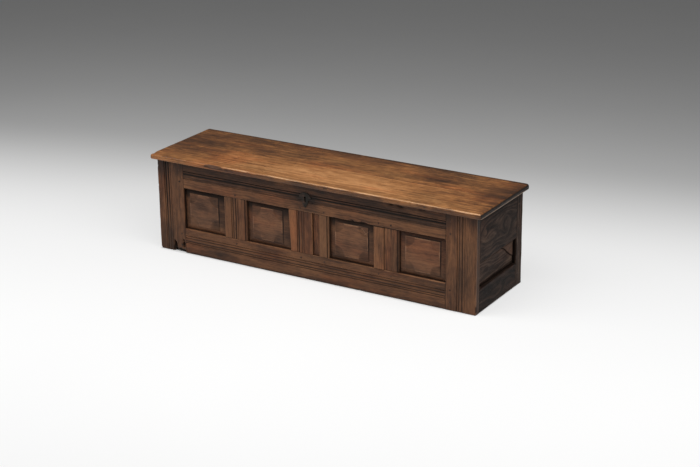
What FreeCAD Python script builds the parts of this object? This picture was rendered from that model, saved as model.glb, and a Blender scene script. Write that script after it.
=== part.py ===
import FreeCAD, Part
import math
import os

# Coffer chest: a framed and pegged carcase with fielded panels, a hinged two-board lid and an
# iron chest lock. Millimetres, +X to the right, +Y to the back, +Z up. The origin is on the
# floor, under the middle of the chest.

# Carcase
body_width = 1720.0
body_depth = 460.0
body_height = 456.0

# Lid
lid_thickness = 25.0
lid_end_overhang = 29.0
lid_front_overhang = 18.0
lid_back_overhang = 9.0
lid_upper_rounding = 9.0
lid_front_corner_extra = 2.0
lid_back_corner_extra = 7.0
lid_lower_rounding = 6.0
lid_front_board_width = 240.0
lid_tongue_thickness = 8.0
lid_tongue_length = 9.0
lid_tongue_end_stop = 40.0
batten_width = 52.0
batten_thickness = 22.0
batten_inset = 136.0
batten_end_gap = 12.0
batten_chamfer = 14.0
batten_nail_inset = 37.0
batten_nail_count = 4

# Front frame
front_thickness = 35.0
stile_width = 150.0
top_rail_height = 124.0
bottom_rail_height = 125.0
left_muntin_width = 124.0
centre_left_muntin_width = 126.0
centre_slat_width = 40.0
centre_right_muntin_width = 50.0
right_muntin_width = 50.0
right_board_width = 78.0
centre_slat_sink = 9.0
right_board_sink = 4.0

# Scratch-moulded bands and muntin edges
reed_widths = (10.0, 16.0, 12.0)
quirk_slope = 1.5
quirk_depth = 4.5
reed_crown = 0.5
top_rail_band_height = 65.0
bottom_rail_band_height = 71.0
edge_moulding_width = 10.0
edge_moulding_step = 2.0
edge_moulding_depth = 9.0
edge_moulding_crown = 3.0
cutter_overshoot = 1.0

# Fielded panels
groove_setback = 17.0
groove_width = 9.0
groove_depth = 12.0
field_setback = 8.0
field_shoulder = 2.5
field_spandrel_sink = 1.2
field_side_bevel = 30.0
field_rail_bevel = 23.0
field_scoop_radius = 48.0
bevel_margin = 2.0
end_field_setback = 12.0
end_field_bevel = 16.0

# Ends
end_thickness = 34.0
rear_stile_width = 58.0
end_top_rail_height = 220.0
end_bottom_rail_height = 112.0
end_groove_setback = 18.0

# Back
back_thickness = 30.0
back_rail_height = 110.0
back_muntin_width = 90.0
back_groove_setback = 10.0

# Floor
floor_top = 75.0
floor_thickness = 18.0
floor_board_count = 6
floor_board_gap = 1.0
ledger_height = 30.0
ledger_thickness = 25.0
ledger_end_gap = 6.0

# Joints
tenon_thickness = 11.0
tenon_setback = 16.0
rail_tenon_length = 60.0
muntin_tenon_length = 36.0
end_tenon_front_length = 22.0
end_tenon_rear_length = 28.0
back_tenon_length = 22.0
back_muntin_tenon_length = 30.0
tenon_haunch = 24.0
tenon_cheek = 3.0
peg_radius = 5.0
peg_end = 5.0
peg_sides = 4
peg_proud = 0.5
stile_peg_inset = 22.0
top_rail_peg_inset = 14.0
bottom_rail_peg_inset = 22.0
end_peg_inset = 36.0

# Clearances
tenon_play = 0.3
tenon_end_gap = 1.0
panel_play = 0.25
tongue_end_gap = 1.5
peg_play = 0.3
slat_play = 0.4
running_gap = 0.3
pin_play = 0.1
same_place = 0.01

# Hinges
hinge_inset = 430.0
hinge_width = 40.0
hinge_knuckle_width = 16.0
hinge_plate = 2.4
hinge_axis_offset = 4.6
knuckle_radius = 4.3
pin_radius = 1.9
strap_seam_lap = 12.0
strap_tip_width = 22.0
strap_root_nail_inset = 60.0
strap_tip_nail_inset = 46.0
strap_nail_count = 3
leaf_length = 88.0
leaf_nail_side = 11.0
leaf_nail_heights = (30.0, 70.0)

# Nails
nail_shank = 3.0
nail_head_radius = 5.0
nail_head_tip = 1.4
nail_head_height = 2.4
nail_head_sides = 4
nail_lid_depth = 15.0
nail_wood_depth = 20.0
small_nail_shank = 1.8
small_nail_head_radius = 3.2
small_nail_head_tip = 1.0
small_nail_head_height = 1.6

# Lock
lock_x = -18.0
escutcheon_width = 65.0
escutcheon_height = 75.0
escutcheon_drop = 66.0
escutcheon_plate = 2.0
escutcheon_ear = 9.0
escutcheon_waist = 17.0
escutcheon_hollow = 3.0
escutcheon_nail_inset = 6.3
keyhole_eye_radius = 5.0
keyhole_slot_width = 6.0
keyhole_drop = 49.0
keyhole_length = 27.0
lock_flange = 18.0
lock_plate_thickness = 2.0
lock_end_room = 6.0
lock_cover_depth = 22.0
lock_wall = 2.0
lock_lid_gap = 8.0
lock_height = 84.0
bolt_length = 52.0
bolt_height = 10.0
bolt_thickness = 6.0
bolt_travel = 24.0
bolt_tip_gap = 6.0
bolt_drop = 16.0
bolt_play = 0.3
talon_width = 9.0
talon_depth = 3.0
guide_pitch = 26.0
guide_thickness = 3.0
staple_thickness = 4.0
staple_width = 14.0
staple_rim = 3.2
staple_eye_play = 1.0
staple_slot_play = 2.0
catch_plate_width = 56.0
catch_plate_depth = 34.0
catch_plate = 2.5
catch_nail_inset = 9.0
spring_thickness = 0.8
spring_width = 5.0
spring_pad = 4.0

# Worked out from the sizes above
half_width = body_width / 2
front_y = (lid_front_overhang - lid_back_overhang - body_depth) / 2
back_y = front_y + body_depth
front_inner_y = front_y + front_thickness
back_inner_y = back_y - back_thickness
rear_stile_y = back_y - rear_stile_width
end_inner_x = half_width - end_thickness
rail_half = half_width - stile_width
lid_under = body_height
lid_top = body_height + lid_thickness
band_width = sum(reed_widths) + 2 * quirk_slope
tongue_length = groove_depth - tongue_end_gap
panel_width = (
    2 * rail_half - left_muntin_width - centre_left_muntin_width - centre_slat_width
    - centre_right_muntin_width - right_muntin_width - right_board_width
) / 4
front_frame_y = (front_y, front_inner_y)
front_tenon_y = (front_y + tenon_setback, front_y + tenon_setback + tenon_thickness)
front_groove_y = (front_y + groove_setback, front_y + groove_setback + groove_width)
opening_z = (bottom_rail_height, body_height - top_rail_height)
end_opening_z = (end_bottom_rail_height, body_height - end_top_rail_height)
back_opening_z = (back_rail_height, body_height - back_rail_height)
hinge_y = back_y + hinge_axis_offset
hinge_z = lid_under - hinge_axis_offset

pieces = {}
cuts = {}


def point(x, y, z):
    return FreeCAD.Vector(x, y, z)


def block(x, y, z):
    """Box between three pairs of limits."""
    corner = point(min(x), min(y), min(z))
    return Part.makeBox(abs(x[1] - x[0]), abs(y[1] - y[0]), abs(z[1] - z[0]), corner)


def grown(limits, amount):
    """A pair of limits moved apart by an amount at each end."""
    return (limits[0] - amount, limits[1] + amount)


def middle(limits):
    return (limits[0] + limits[1]) / 2


def around(centre, size):
    """A pair of limits on each side of a centre."""
    return (centre - size / 2, centre + size / 2)


def side_by_side(start, widths):
    """Limits of pieces that stand side by side from a start."""
    limits = []
    for width in widths:
        limits.append((start, start + width))
        start += width
    return limits


def mirrored(shape):
    """The left-hand copy of a right-hand piece."""
    return shape.mirror(point(0, 0, 0), point(1, 0, 0))


def later_cut(names, tool):
    """Take a tool out of the named pieces once they are all made."""
    for name in names:
        cuts.setdefault(name, []).append(tool)


def drawn(points_and_arcs, along):
    """Solid drawn along a vector from a closed outline of points; an arc is a pair of points."""
    edges = []
    start = points_and_arcs[0]
    last = start
    for step in points_and_arcs[1:]:
        if isinstance(step, tuple):
            edges.append(Part.Arc(last, step[0], step[1]).toShape())
            last = step[1]
        else:
            edges.append(Part.LineSegment(last, step).toShape())
            last = step
    if not last.isEqual(start, same_place):
        edges.append(Part.LineSegment(last, start).toShape())
    return Part.Face(Part.Wire(edges)).extrude(along)


def reeded_band(place, along):
    """Cutter of three reeds between quirks; place turns (across, depth) into a point."""
    half = band_width / 2
    outline = [
        place(-half, -cutter_overshoot), place(-half, 0.0), place(-half + quirk_slope, quirk_depth),
    ]
    across = -half + quirk_slope
    for width in reed_widths:
        outline.append((place(across + width / 2, reed_crown), place(across + width, quirk_depth)))
        across += width
    outline += [place(half, 0.0), place(half, -cutter_overshoot)]
    return drawn(outline, along)


def upright_band(centre_x, z):
    def place(across, depth):
        return point(centre_x + across, front_y + depth, z[0])
    return reeded_band(place, point(0, 0, z[1] - z[0]))


def level_band(centre_z, half_length):
    def place(across, depth):
        return point(-half_length, front_y + depth, centre_z + across)
    return reeded_band(place, point(2 * half_length, 0, 0))


def edge_moulding(edge_x, face_y, z):
    """Cutter of the stepped ovolo on a muntin's right edge."""
    inner = edge_x - edge_moulding_width
    outer = edge_x + cutter_overshoot
    above = face_y - cutter_overshoot
    step_y = face_y + edge_moulding_step
    low_y = face_y + edge_moulding_depth
    crown = point(edge_x - edge_moulding_crown, step_y + edge_moulding_crown - cutter_overshoot, z[0])
    outline = [
        point(inner, above, z[0]),
        point(inner, step_y, z[0]),
        (crown, point(edge_x, low_y, z[0])),
        point(outer, low_y, z[0]),
        point(outer, above, z[0]),
    ]
    return drawn(outline, point(0, 0, z[1] - z[0]))


def tapered(lower, upper):
    """Solid with flat sides between two outlines that have as many corners."""
    faces = [Part.Face(Part.makePolygon(ring + ring[:1])) for ring in (lower, upper)]
    for number in range(len(lower)):
        corners = [lower[number - 1], lower[number], upper[number], upper[number - 1], lower[number - 1]]
        faces.append(Part.Face(Part.makePolygon(corners)))
    solid = Part.Solid(Part.Shell(faces))
    if solid.Volume < 0:
        solid.reverse()
    return solid


def frustum(u, v, u_top, v_top, place, depth, depth_top):
    """Bevelled slab between two rectangles."""
    lower = [place(a, b, depth) for a, b in rectangle(u, v)]
    upper = [place(a, b, depth_top) for a, b in rectangle(u_top, v_top)]
    return tapered(lower, upper)


def rectangle(u, v):
    return [(u[0], v[0]), (u[1], v[0]), (u[1], v[1]), (u[0], v[1])]


def front_panel(x):
    """Fielded panel: a tongue all round, broad bevels and a raised field with sunk, scooped corners."""
    z = opening_z
    tongue_y = grown(front_groove_y, -panel_play)
    panel = block(grown(x, tongue_length), tongue_y, grown(z, tongue_length))
    field_x = grown(x, -field_side_bevel)
    field_z = grown(z, -field_rail_bevel)
    shoulder_y = front_y + field_setback + field_shoulder

    def place(a, b, depth):
        return point(a, depth, b)
    margin_x = grown(x, -bevel_margin)
    margin_z = grown(z, -bevel_margin)
    bevel = frustum(margin_x, margin_z, field_x, field_z, place, tongue_y[0], shoulder_y)
    field = block(field_x, (front_y + field_setback, shoulder_y), field_z)
    for corner_x in field_x:
        for corner_z in field_z:
            scoop = Part.makeCylinder(
                field_scoop_radius, field_spandrel_sink, point(corner_x, front_y + field_setback, corner_z),
                point(0, 1, 0),
            )
            field = field.cut(scoop)
    return panel.fuse([bevel, field]).removeSplitter()


def front_muntin(x, sink=0.0, left_groove=True):
    """Upright of the front frame, tenoned into both rails and grooved for its neighbours."""
    tenon_x = muntin_tenon_x(x)
    upright = block(x, (front_y + sink, front_inner_y), opening_z)
    tenons = block(tenon_x, front_tenon_y, grown(opening_z, muntin_tenon_length))
    upright = upright.fuse(tenons)
    if left_groove:
        upright = upright.cut(block((x[0], x[0] + groove_depth), front_groove_y, opening_z))
    return upright.cut(block((x[1] - groove_depth, x[1]), front_groove_y, opening_z))


def muntin_tenon_x(x):
    return grown(x, -(groove_depth + tenon_cheek))


def ring(radius, sides, height):
    """Corners of a regular outline around the Z axis."""
    corners = []
    for side in range(sides):
        turn = 2 * math.pi * (side + 0.5) / sides
        corners.append(point(radius * math.cos(turn), radius * math.sin(turn), height))
    return corners


def turned_to(shape, seat, outward):
    """Turn a shape that was made along +Z so that it stands on a seat and faces outward."""
    turn = FreeCAD.Rotation(point(0, 0, 1), FreeCAD.Vector(outward))
    shape.Placement = FreeCAD.Placement(seat, turn)
    return shape


def flat_sided(radius, low, high):
    """Riven rod with flat sides along the Z axis."""
    return tapered(ring(radius, peg_sides, low), ring(radius, peg_sides, high))


def pegged(seat, inward, setback, names):
    """Riven peg driven from a face through a tenon, with its hole through the named pieces."""
    length = setback + tenon_thickness + peg_end
    hole = flat_sided(peg_radius + peg_play, -length - peg_play, 2 * peg_proud)
    later_cut(names, turned_to(hole, seat, -inward))
    return turned_to(flat_sided(peg_radius, -length, peg_proud), seat, -inward)


def nailed(seat, outward, depth, names, small=False):
    """Hand-forged nail with a rose head on a seat, its square shank driven into the pieces."""
    shank = small_nail_shank if small else nail_shank
    radius = small_nail_head_radius if small else nail_head_radius
    tip = small_nail_head_tip if small else nail_head_tip
    height = small_nail_head_height if small else nail_head_height
    head = tapered(ring(radius, nail_head_sides, 0.0), ring(tip, nail_head_sides, height))
    stem = block(around(0.0, shank), around(0.0, shank), (-depth, 0.0))
    later_cut(names, turned_to(stem.copy(), seat, outward))
    return turned_to(head.fuse(stem), seat, outward)


# Front frame
(
    panel_1_x, left_muntin_x, panel_2_x, centre_left_x, centre_slat_x, centre_right_x,
    panel_3_x, right_muntin_x, right_board_x, panel_4_x,
) = side_by_side(-rail_half, (
    panel_width, left_muntin_width, panel_width, centre_left_muntin_width, centre_slat_width,
    centre_right_muntin_width, panel_width, right_muntin_width, right_board_width, panel_width,
))
top_rail_z = (opening_z[1], body_height)
bottom_rail_z = (0.0, opening_z[0])
top_tenon_z = (opening_z[1] + groove_depth + tenon_cheek, body_height - tenon_haunch)
bottom_tenon_z = (tenon_haunch, opening_z[0] - groove_depth - tenon_cheek)
muntin_places = (left_muntin_x, centre_left_x, centre_right_x, right_muntin_x, right_board_x)


def front_rail(z, tenon_z, groove_z, band_z):
    rail = block((-rail_half, rail_half), front_frame_y, z)
    tenons = block(grown((-rail_half, rail_half), rail_tenon_length), front_tenon_y, tenon_z)
    rail = rail.fuse(tenons)
    rail = rail.cut(block((-rail_half, rail_half), front_groove_y, groove_z))
    return rail.cut(level_band(band_z, rail_half))


pieces["front_top_rail"] = front_rail(
    top_rail_z, top_tenon_z, (opening_z[1], opening_z[1] + groove_depth),
    opening_z[1] + top_rail_band_height,
)
pieces["front_bottom_rail"] = front_rail(
    bottom_rail_z, bottom_tenon_z, (opening_z[0] - groove_depth, opening_z[0]),
    bottom_rail_band_height,
)
for muntin_x in muntin_places:
    mortise = block(
        grown(muntin_tenon_x(muntin_x), tenon_play), grown(front_tenon_y, tenon_play),
        grown(opening_z, muntin_tenon_length + tenon_end_gap),
    )
    later_cut(["front_top_rail", "front_bottom_rail"], mortise)

left_muntin = front_muntin(left_muntin_x)
left_band_x = middle((left_muntin_x[0], left_muntin_x[1] - edge_moulding_width))
left_muntin = left_muntin.cut(upright_band(left_band_x, opening_z))
pieces["left_muntin"] = left_muntin.cut(edge_moulding(left_muntin_x[1], front_y, opening_z))
centre_left = front_muntin(centre_left_x)
pieces["centre_left_muntin"] = centre_left.cut(upright_band(middle(centre_left_x), opening_z))
centre_right = front_muntin(centre_right_x)
pieces["centre_right_muntin"] = centre_right.cut(
    edge_moulding(centre_right_x[1], front_y, opening_z)
)
pieces["right_muntin"] = front_muntin(right_muntin_x)
right_board = front_muntin(right_board_x, sink=right_board_sink, left_groove=False)
right_board = right_board.cut(
    edge_moulding(right_board_x[1], front_y + right_board_sink, opening_z)
)
board_tongue = block(
    (right_board_x[0] - tongue_length, right_board_x[0]), grown(front_groove_y, -panel_play), opening_z
)
pieces["right_muntin_board"] = right_board.fuse(board_tongue)

slat_tongue = block(
    grown(centre_slat_x, tongue_length), grown(front_groove_y, -panel_play),
    grown(opening_z, tongue_length),
)
slat_face = block(
    grown(centre_slat_x, -slat_play),
    (front_y + centre_slat_sink, front_groove_y[1] - panel_play),
    grown(opening_z, -slat_play),
)
pieces["centre_slat"] = slat_tongue.fuse(slat_face)

for number, panel_x in enumerate((panel_1_x, panel_2_x, panel_3_x, panel_4_x), 1):
    pieces["front_panel_%d" % number] = front_panel(panel_x)

# Front stiles, with mortises and grooves for the rails, the panels and the ends
end_tenon_x = (
    half_width - tenon_setback - tenon_thickness, half_width - tenon_setback
)
end_groove_x = (
    half_width - end_groove_setback - groove_width, half_width - end_groove_setback
)
end_top_tenon_z = (end_opening_z[1] + groove_depth + tenon_cheek, body_height - tenon_haunch)
end_bottom_tenon_z = (tenon_haunch, end_opening_z[0] - groove_depth - tenon_cheek)

right_stile = block((rail_half, half_width), front_frame_y, (0.0, body_height))
right_stile = right_stile.cut(upright_band(middle((rail_half, half_width)), (0.0, body_height)))
stile_cuts = [block(
    (rail_half, rail_half + groove_depth), front_groove_y, grown(opening_z, groove_depth)
)]
for tenon_z in (top_tenon_z, bottom_tenon_z):
    stile_cuts.append(block(
        (rail_half, rail_half + rail_tenon_length + tenon_end_gap),
        grown(front_tenon_y, tenon_play), grown(tenon_z, tenon_play),
    ))
for tenon_z in (end_top_tenon_z, end_bottom_tenon_z):
    stile_cuts.append(block(
        grown(end_tenon_x, tenon_play),
        (front_inner_y - end_tenon_front_length - tenon_end_gap, front_inner_y),
        grown(tenon_z, tenon_play),
    ))
stile_cuts.append(block(
    end_groove_x, (front_inner_y - groove_depth, front_inner_y), grown(end_opening_z, groove_depth)
))
right_stile = right_stile.cut(stile_cuts)
pieces["front_right_stile"] = right_stile
pieces["front_left_stile"] = mirrored(right_stile)

# Rear stiles
back_tenon_y = (
    back_y - back_groove_setback - tenon_thickness, back_y - back_groove_setback
)
back_groove_y = (
    back_y - back_groove_setback - groove_width, back_y - back_groove_setback
)
back_tenon_zs = (
    (tenon_haunch, back_opening_z[0] - groove_depth - tenon_cheek),
    (back_opening_z[1] + groove_depth + tenon_cheek, body_height - tenon_haunch),
)
rear_stile = block((end_inner_x, half_width), (rear_stile_y, back_y), (0.0, body_height))
rear_cuts = [
    block(end_groove_x, (rear_stile_y, rear_stile_y + groove_depth), grown(end_opening_z, groove_depth)),
    block((end_inner_x, end_inner_x + groove_depth), back_groove_y, grown(back_opening_z, groove_depth)),
]
for tenon_z in (end_top_tenon_z, end_bottom_tenon_z):
    rear_cuts.append(block(
        grown(end_tenon_x, tenon_play),
        (rear_stile_y, rear_stile_y + end_tenon_rear_length + tenon_end_gap),
        grown(tenon_z, tenon_play),
    ))
for tenon_z in back_tenon_zs:
    rear_cuts.append(block(
        (end_inner_x, end_inner_x + back_tenon_length + tenon_end_gap),
        grown(back_tenon_y, tenon_play), grown(tenon_z, tenon_play),
    ))
rear_stile = rear_stile.cut(rear_cuts)
pieces["rear_right_stile"] = rear_stile
pieces["rear_left_stile"] = mirrored(rear_stile)


# Ends: a wide top rail, a bottom rail and one panel
def end_rail(z, tenon_z, groove_z):
    rail_y = (front_inner_y, rear_stile_y)
    rail = block((end_inner_x, half_width), rail_y, z)
    tenon_y = (front_inner_y - end_tenon_front_length, rear_stile_y + end_tenon_rear_length)
    rail = rail.fuse(block(end_tenon_x, tenon_y, tenon_z))
    return rail.cut(block(end_groove_x, rail_y, groove_z))


def end_panel():
    y = (front_inner_y, rear_stile_y)
    z = end_opening_z
    tongue_x = grown(end_groove_x, -panel_play)
    panel = block(tongue_x, grown(y, tongue_length), grown(z, tongue_length))

    def place(a, b, depth):
        return point(depth, a, b)
    bevel = frustum(
        grown(y, -bevel_margin), grown(z, -bevel_margin),
        grown(y, -end_field_bevel), grown(z, -end_field_bevel),
        place, tongue_x[1], half_width - end_field_setback,
    )
    return panel.fuse(bevel).removeSplitter()


pieces["right_end_top_rail"] = end_rail(
    (end_opening_z[1], body_height), end_top_tenon_z,
    (end_opening_z[1], end_opening_z[1] + groove_depth),
)
pieces["right_end_bottom_rail"] = end_rail(
    (0.0, end_opening_z[0]), end_bottom_tenon_z,
    (end_opening_z[0] - groove_depth, end_opening_z[0]),
)
pieces["right_end_panel"] = end_panel()
for name in ("end_top_rail", "end_bottom_rail", "end_panel"):
    pieces["left_" + name] = mirrored(pieces["right_" + name])

# Back: two rails, two muntins and three plain panels
back_frame_y = (back_inner_y, back_y)
back_panel_width = (2 * end_inner_x - 2 * back_muntin_width) / 3
(
    back_panel_1_x, back_left_muntin_x, back_panel_2_x, back_right_muntin_x, back_panel_3_x,
) = side_by_side(-end_inner_x, (
    back_panel_width, back_muntin_width, back_panel_width, back_muntin_width, back_panel_width,
))


def back_rail(z, tenon_z, groove_z):
    rail_x = (-end_inner_x, end_inner_x)
    rail = block(rail_x, back_frame_y, z)
    rail = rail.fuse(block(grown(rail_x, back_tenon_length), back_tenon_y, tenon_z))
    rail = rail.cut(block(rail_x, back_groove_y, groove_z))
    for x in (back_left_muntin_x, back_right_muntin_x):
        rail = rail.cut(block(
            grown(muntin_tenon_x(x), tenon_play), grown(back_tenon_y, tenon_play),
            grown(back_opening_z, back_muntin_tenon_length + tenon_end_gap),
        ))
    return rail


def back_muntin(x):
    upright = block(x, back_frame_y, back_opening_z)
    upright = upright.fuse(block(
        muntin_tenon_x(x), back_tenon_y, grown(back_opening_z, back_muntin_tenon_length)
    ))
    upright = upright.cut(block((x[0], x[0] + groove_depth), back_groove_y, back_opening_z))
    return upright.cut(block((x[1] - groove_depth, x[1]), back_groove_y, back_opening_z))


pieces["back_bottom_rail"] = back_rail(
    (0.0, back_opening_z[0]), back_tenon_zs[0], (back_opening_z[0] - groove_depth, back_opening_z[0])
)
pieces["back_top_rail"] = back_rail(
    (back_opening_z[1], body_height), back_tenon_zs[1],
    (back_opening_z[1], back_opening_z[1] + groove_depth),
)
pieces["back_left_muntin"] = back_muntin(back_left_muntin_x)
pieces["back_right_muntin"] = back_muntin(back_right_muntin_x)
for number, panel_x in enumerate((back_panel_1_x, back_panel_2_x, back_panel_3_x), 1):
    pieces["back_panel_%d" % number] = block(
        grown(panel_x, tongue_length), grown(back_groove_y, -panel_play),
        grown(back_opening_z, tongue_length),
    )

# Pegs of the front frame, the ends and the back
front_pegs = []
into_front = point(0, 1, 0)
for side, stile in ((-1, "front_left_stile"), (1, "front_right_stile")):
    peg_x = side * (rail_half + stile_peg_inset)
    for rail, tenon_z in (("front_top_rail", top_tenon_z), ("front_bottom_rail", bottom_tenon_z)):
        third = (tenon_z[1] - tenon_z[0]) / 3
        for peg_z in (tenon_z[0] + third / 2, tenon_z[1] - third / 2):
            seat = point(peg_x, front_y, peg_z)
            front_pegs.append(pegged(seat, into_front, tenon_setback, [stile, rail]))
front_uprights = (
    ("left_muntin", left_muntin_x), ("centre_left_muntin", centre_left_x),
    ("centre_right_muntin", centre_right_x), ("right_muntin", right_muntin_x),
    ("right_muntin_board", right_board_x),
)
for name, muntin_x in front_uprights:
    lower = point(middle(muntin_x), front_y, opening_z[0] - bottom_rail_peg_inset)
    upper = point(middle(muntin_x), front_y, opening_z[1] + top_rail_peg_inset)
    front_pegs.append(pegged(lower, into_front, tenon_setback, [name, "front_bottom_rail"]))
    front_pegs.append(pegged(upper, into_front, tenon_setback, [name, "front_top_rail"]))
pieces["front_pegs"] = Part.Compound(front_pegs)

end_pegs = []
front_joint_y = front_inner_y - end_tenon_front_length / 2
rear_joint_y = rear_stile_y + end_tenon_rear_length / 2
for side, hand in ((-1, "left"), (1, "right")):
    inward = point(-side, 0, 0)
    for rail, heights in (
        (hand + "_end_top_rail", grown(end_top_tenon_z, -end_peg_inset)),
        (hand + "_end_bottom_rail", (middle(end_bottom_tenon_z),)),
    ):
        for peg_z in heights:
            for peg_y, stile in (
                (front_joint_y, "front_%s_stile" % hand), (rear_joint_y, "rear_%s_stile" % hand)
            ):
                start = point(side * half_width, peg_y, peg_z)
                end_pegs.append(pegged(start, inward, tenon_setback, [rail, stile]))
pieces["end_pegs"] = Part.Compound(end_pegs)

back_pegs = []
into_back = point(0, -1, 0)
for side, hand in ((-1, "left"), (1, "right")):
    peg_x = side * (end_inner_x + back_tenon_length / 2)
    for rail, tenon_z in zip(("back_bottom_rail", "back_top_rail"), back_tenon_zs):
        start = point(peg_x, back_y, middle(tenon_z))
        back_pegs.append(pegged(
            start, into_back, back_groove_setback, [rail, "rear_%s_stile" % hand]
        ))
for name, muntin_x in (
    ("back_left_muntin", back_left_muntin_x), ("back_right_muntin", back_right_muntin_x)
):
    for rail, peg_z in (
        ("back_bottom_rail", back_opening_z[0] - bottom_rail_peg_inset),
        ("back_top_rail", back_opening_z[1] + bottom_rail_peg_inset),
    ):
        start = point(middle(muntin_x), back_y, peg_z)
        back_pegs.append(pegged(start, into_back, back_groove_setback, [name, rail]))
pieces["back_pegs"] = Part.Compound(back_pegs)

# Floor boards across the chest, on two ledgers
floor_y = (front_inner_y, back_inner_y)
floor_z = (floor_top - floor_thickness, floor_top)
ledger_z = (floor_z[0] - ledger_height, floor_z[0])
ledger_x = grown((-end_inner_x, end_inner_x), -ledger_end_gap)
pieces["front_ledger"] = block(ledger_x, (front_inner_y, front_inner_y + ledger_thickness), ledger_z)
pieces["back_ledger"] = block(ledger_x, (back_inner_y - ledger_thickness, back_inner_y), ledger_z)
floor_pitch = 2 * end_inner_x / floor_board_count
for number in range(floor_board_count):
    name = "floor_board_%d" % (number + 1)
    start_x = -end_inner_x + number * floor_pitch
    board_x = grown((start_x, start_x + floor_pitch), -floor_board_gap / 2)
    pieces[name] = block(board_x, grown(floor_y, -floor_board_gap / 2), floor_z)

# Lid of two boards, tongued together, with rounded edges and corners
lid_half = half_width + lid_end_overhang
lid_y = (front_y - lid_front_overhang, back_y + lid_back_overhang)
seam_y = lid_y[0] + lid_front_board_width


def edges_at(shape, height):
    """Level edges at a height."""
    level = [edge for edge in shape.Edges if edge.BoundBox.ZLength < same_place]
    return [edge for edge in level if abs(edge.BoundBox.ZMin - height) < same_place]


def corners_at(shape, depth):
    """Upright edges of the lid at its front or its back."""
    upright = [edge for edge in shape.Edges if edge.BoundBox.ZLength > lid_thickness / 2]
    level = [edge for edge in upright if edge.BoundBox.YLength < same_place]
    return [edge for edge in level if abs(edge.BoundBox.YMin - depth) < same_place]


lid = block((-lid_half, lid_half), lid_y, (lid_under, lid_top))
lid = lid.makeFillet(lid_upper_rounding + lid_front_corner_extra, corners_at(lid, lid_y[0]))
lid = lid.makeFillet(lid_upper_rounding + lid_back_corner_extra, corners_at(lid, lid_y[1]))
lid = lid.makeFillet(lid_upper_rounding, edges_at(lid, lid_top))
lid = lid.makeFillet(lid_lower_rounding, edges_at(lid, lid_under))
tongue_half = lid_half - lid_tongue_end_stop
tongue_z = around(lid_under + lid_thickness / 2, lid_tongue_thickness)
lid_tongue = block((-tongue_half, tongue_half), (seam_y, seam_y + lid_tongue_length), tongue_z)
lid_groove = block(
    grown((-tongue_half, tongue_half), tenon_end_gap),
    (seam_y, seam_y + lid_tongue_length + tenon_end_gap), grown(tongue_z, panel_play),
)
front_half = block((-lid_half, lid_half), (lid_y[0], seam_y), (lid_under, lid_top))
back_half = block((-lid_half, lid_half), (seam_y, lid_y[1]), (lid_under, lid_top))
pieces["lid_front_board"] = lid.common(front_half).fuse(lid_tongue)
pieces["lid_back_board"] = lid.common(back_half).cut(lid_groove)

# Battens under the lid
lid_boards = ["lid_front_board", "lid_back_board"]
lid_nails = []
batten_y = grown((front_inner_y, back_inner_y), -batten_end_gap)
batten_nail_start, batten_nail_end = grown(batten_y, -batten_nail_inset)
batten_nail_pitch = (batten_nail_end - batten_nail_start) / (batten_nail_count - 1)
for side, hand in ((-1, "left"), (1, "right")):
    batten_x = around(side * (end_inner_x - batten_inset), batten_width)
    name = "lid_%s_batten" % hand
    lower_z = lid_under - batten_thickness
    outline = [
        point(batten_x[0], batten_y[0], lid_under),
        point(batten_x[0], batten_y[0], lower_z + batten_chamfer),
        point(batten_x[0], batten_y[0] + batten_chamfer, lower_z),
        point(batten_x[0], batten_y[1] - batten_chamfer, lower_z),
        point(batten_x[0], batten_y[1], lower_z + batten_chamfer),
        point(batten_x[0], batten_y[1], lid_under),
    ]
    pieces[name] = drawn(outline, point(batten_width, 0, 0))
    for number in range(batten_nail_count):
        nail_y = batten_nail_start + number * batten_nail_pitch
        lid_nails.append(nailed(
            point(middle(batten_x), nail_y, lower_z), point(0, 0, -1),
            batten_thickness + nail_lid_depth, [name] + lid_boards,
        ))

# Hinges: a strap under the lid, a leaf on the back and a pin through their knuckles
pin_hole_radius = pin_radius + pin_play
strap_z = (lid_under - hinge_plate, lid_under)
strap_tip_y = seam_y - strap_seam_lap
strap_nail_start = back_y - strap_root_nail_inset
strap_nail_pitch = (strap_tip_y + strap_tip_nail_inset - strap_nail_start) / (strap_nail_count - 1)
leaf_y = (back_y, back_y + hinge_plate)
knuckle_clear = knuckle_radius + running_gap
carcase_nails = []


def knuckle(x):
    return Part.makeCylinder(knuckle_radius, x[1] - x[0], point(x[0], hinge_y, hinge_z), point(1, 0, 0))


def pin_hole(x):
    return Part.makeCylinder(
        pin_hole_radius, hinge_width, point(x - hinge_width / 2, hinge_y, hinge_z), point(1, 0, 0)
    )


def hinge_strap(x):
    """Tapered strap with a round tip past the lid's seam, let in over the back rail and rolled."""
    root_y = hinge_y - knuckle_clear
    half_root = hinge_width / 2
    half_tip = strap_tip_width / 2
    outline = [
        point(x - half_root, root_y, strap_z[0]),
        point(x - half_tip, strap_tip_y + half_tip, strap_z[0]),
        (point(x, strap_tip_y, strap_z[0]), point(x + half_tip, strap_tip_y + half_tip, strap_z[0])),
        point(x + half_root, root_y, strap_z[0]),
    ]
    plate = drawn(outline, point(0, 0, hinge_plate))
    knuckle_x = around(x, hinge_knuckle_width)
    neck = block(knuckle_x, (root_y, hinge_y), strap_z)
    return plate.fuse([neck, knuckle(knuckle_x)]).cut(pin_hole(x))


def hinge_leaf(x):
    """Plate on the back of the chest with a knuckle at each side."""
    plate = block(around(x, hinge_width), leaf_y, (hinge_z - leaf_length, hinge_z))
    middle_gap = around(x, hinge_knuckle_width + 2 * running_gap)
    plate = plate.cut(block(middle_gap, leaf_y, (hinge_z - knuckle_clear, hinge_z)))
    outer_x = around(x, hinge_width)
    knuckles = [knuckle((outer_x[0], middle_gap[0])), knuckle((middle_gap[1], outer_x[1]))]
    return plate.fuse(knuckles).cut(pin_hole(x))


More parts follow.
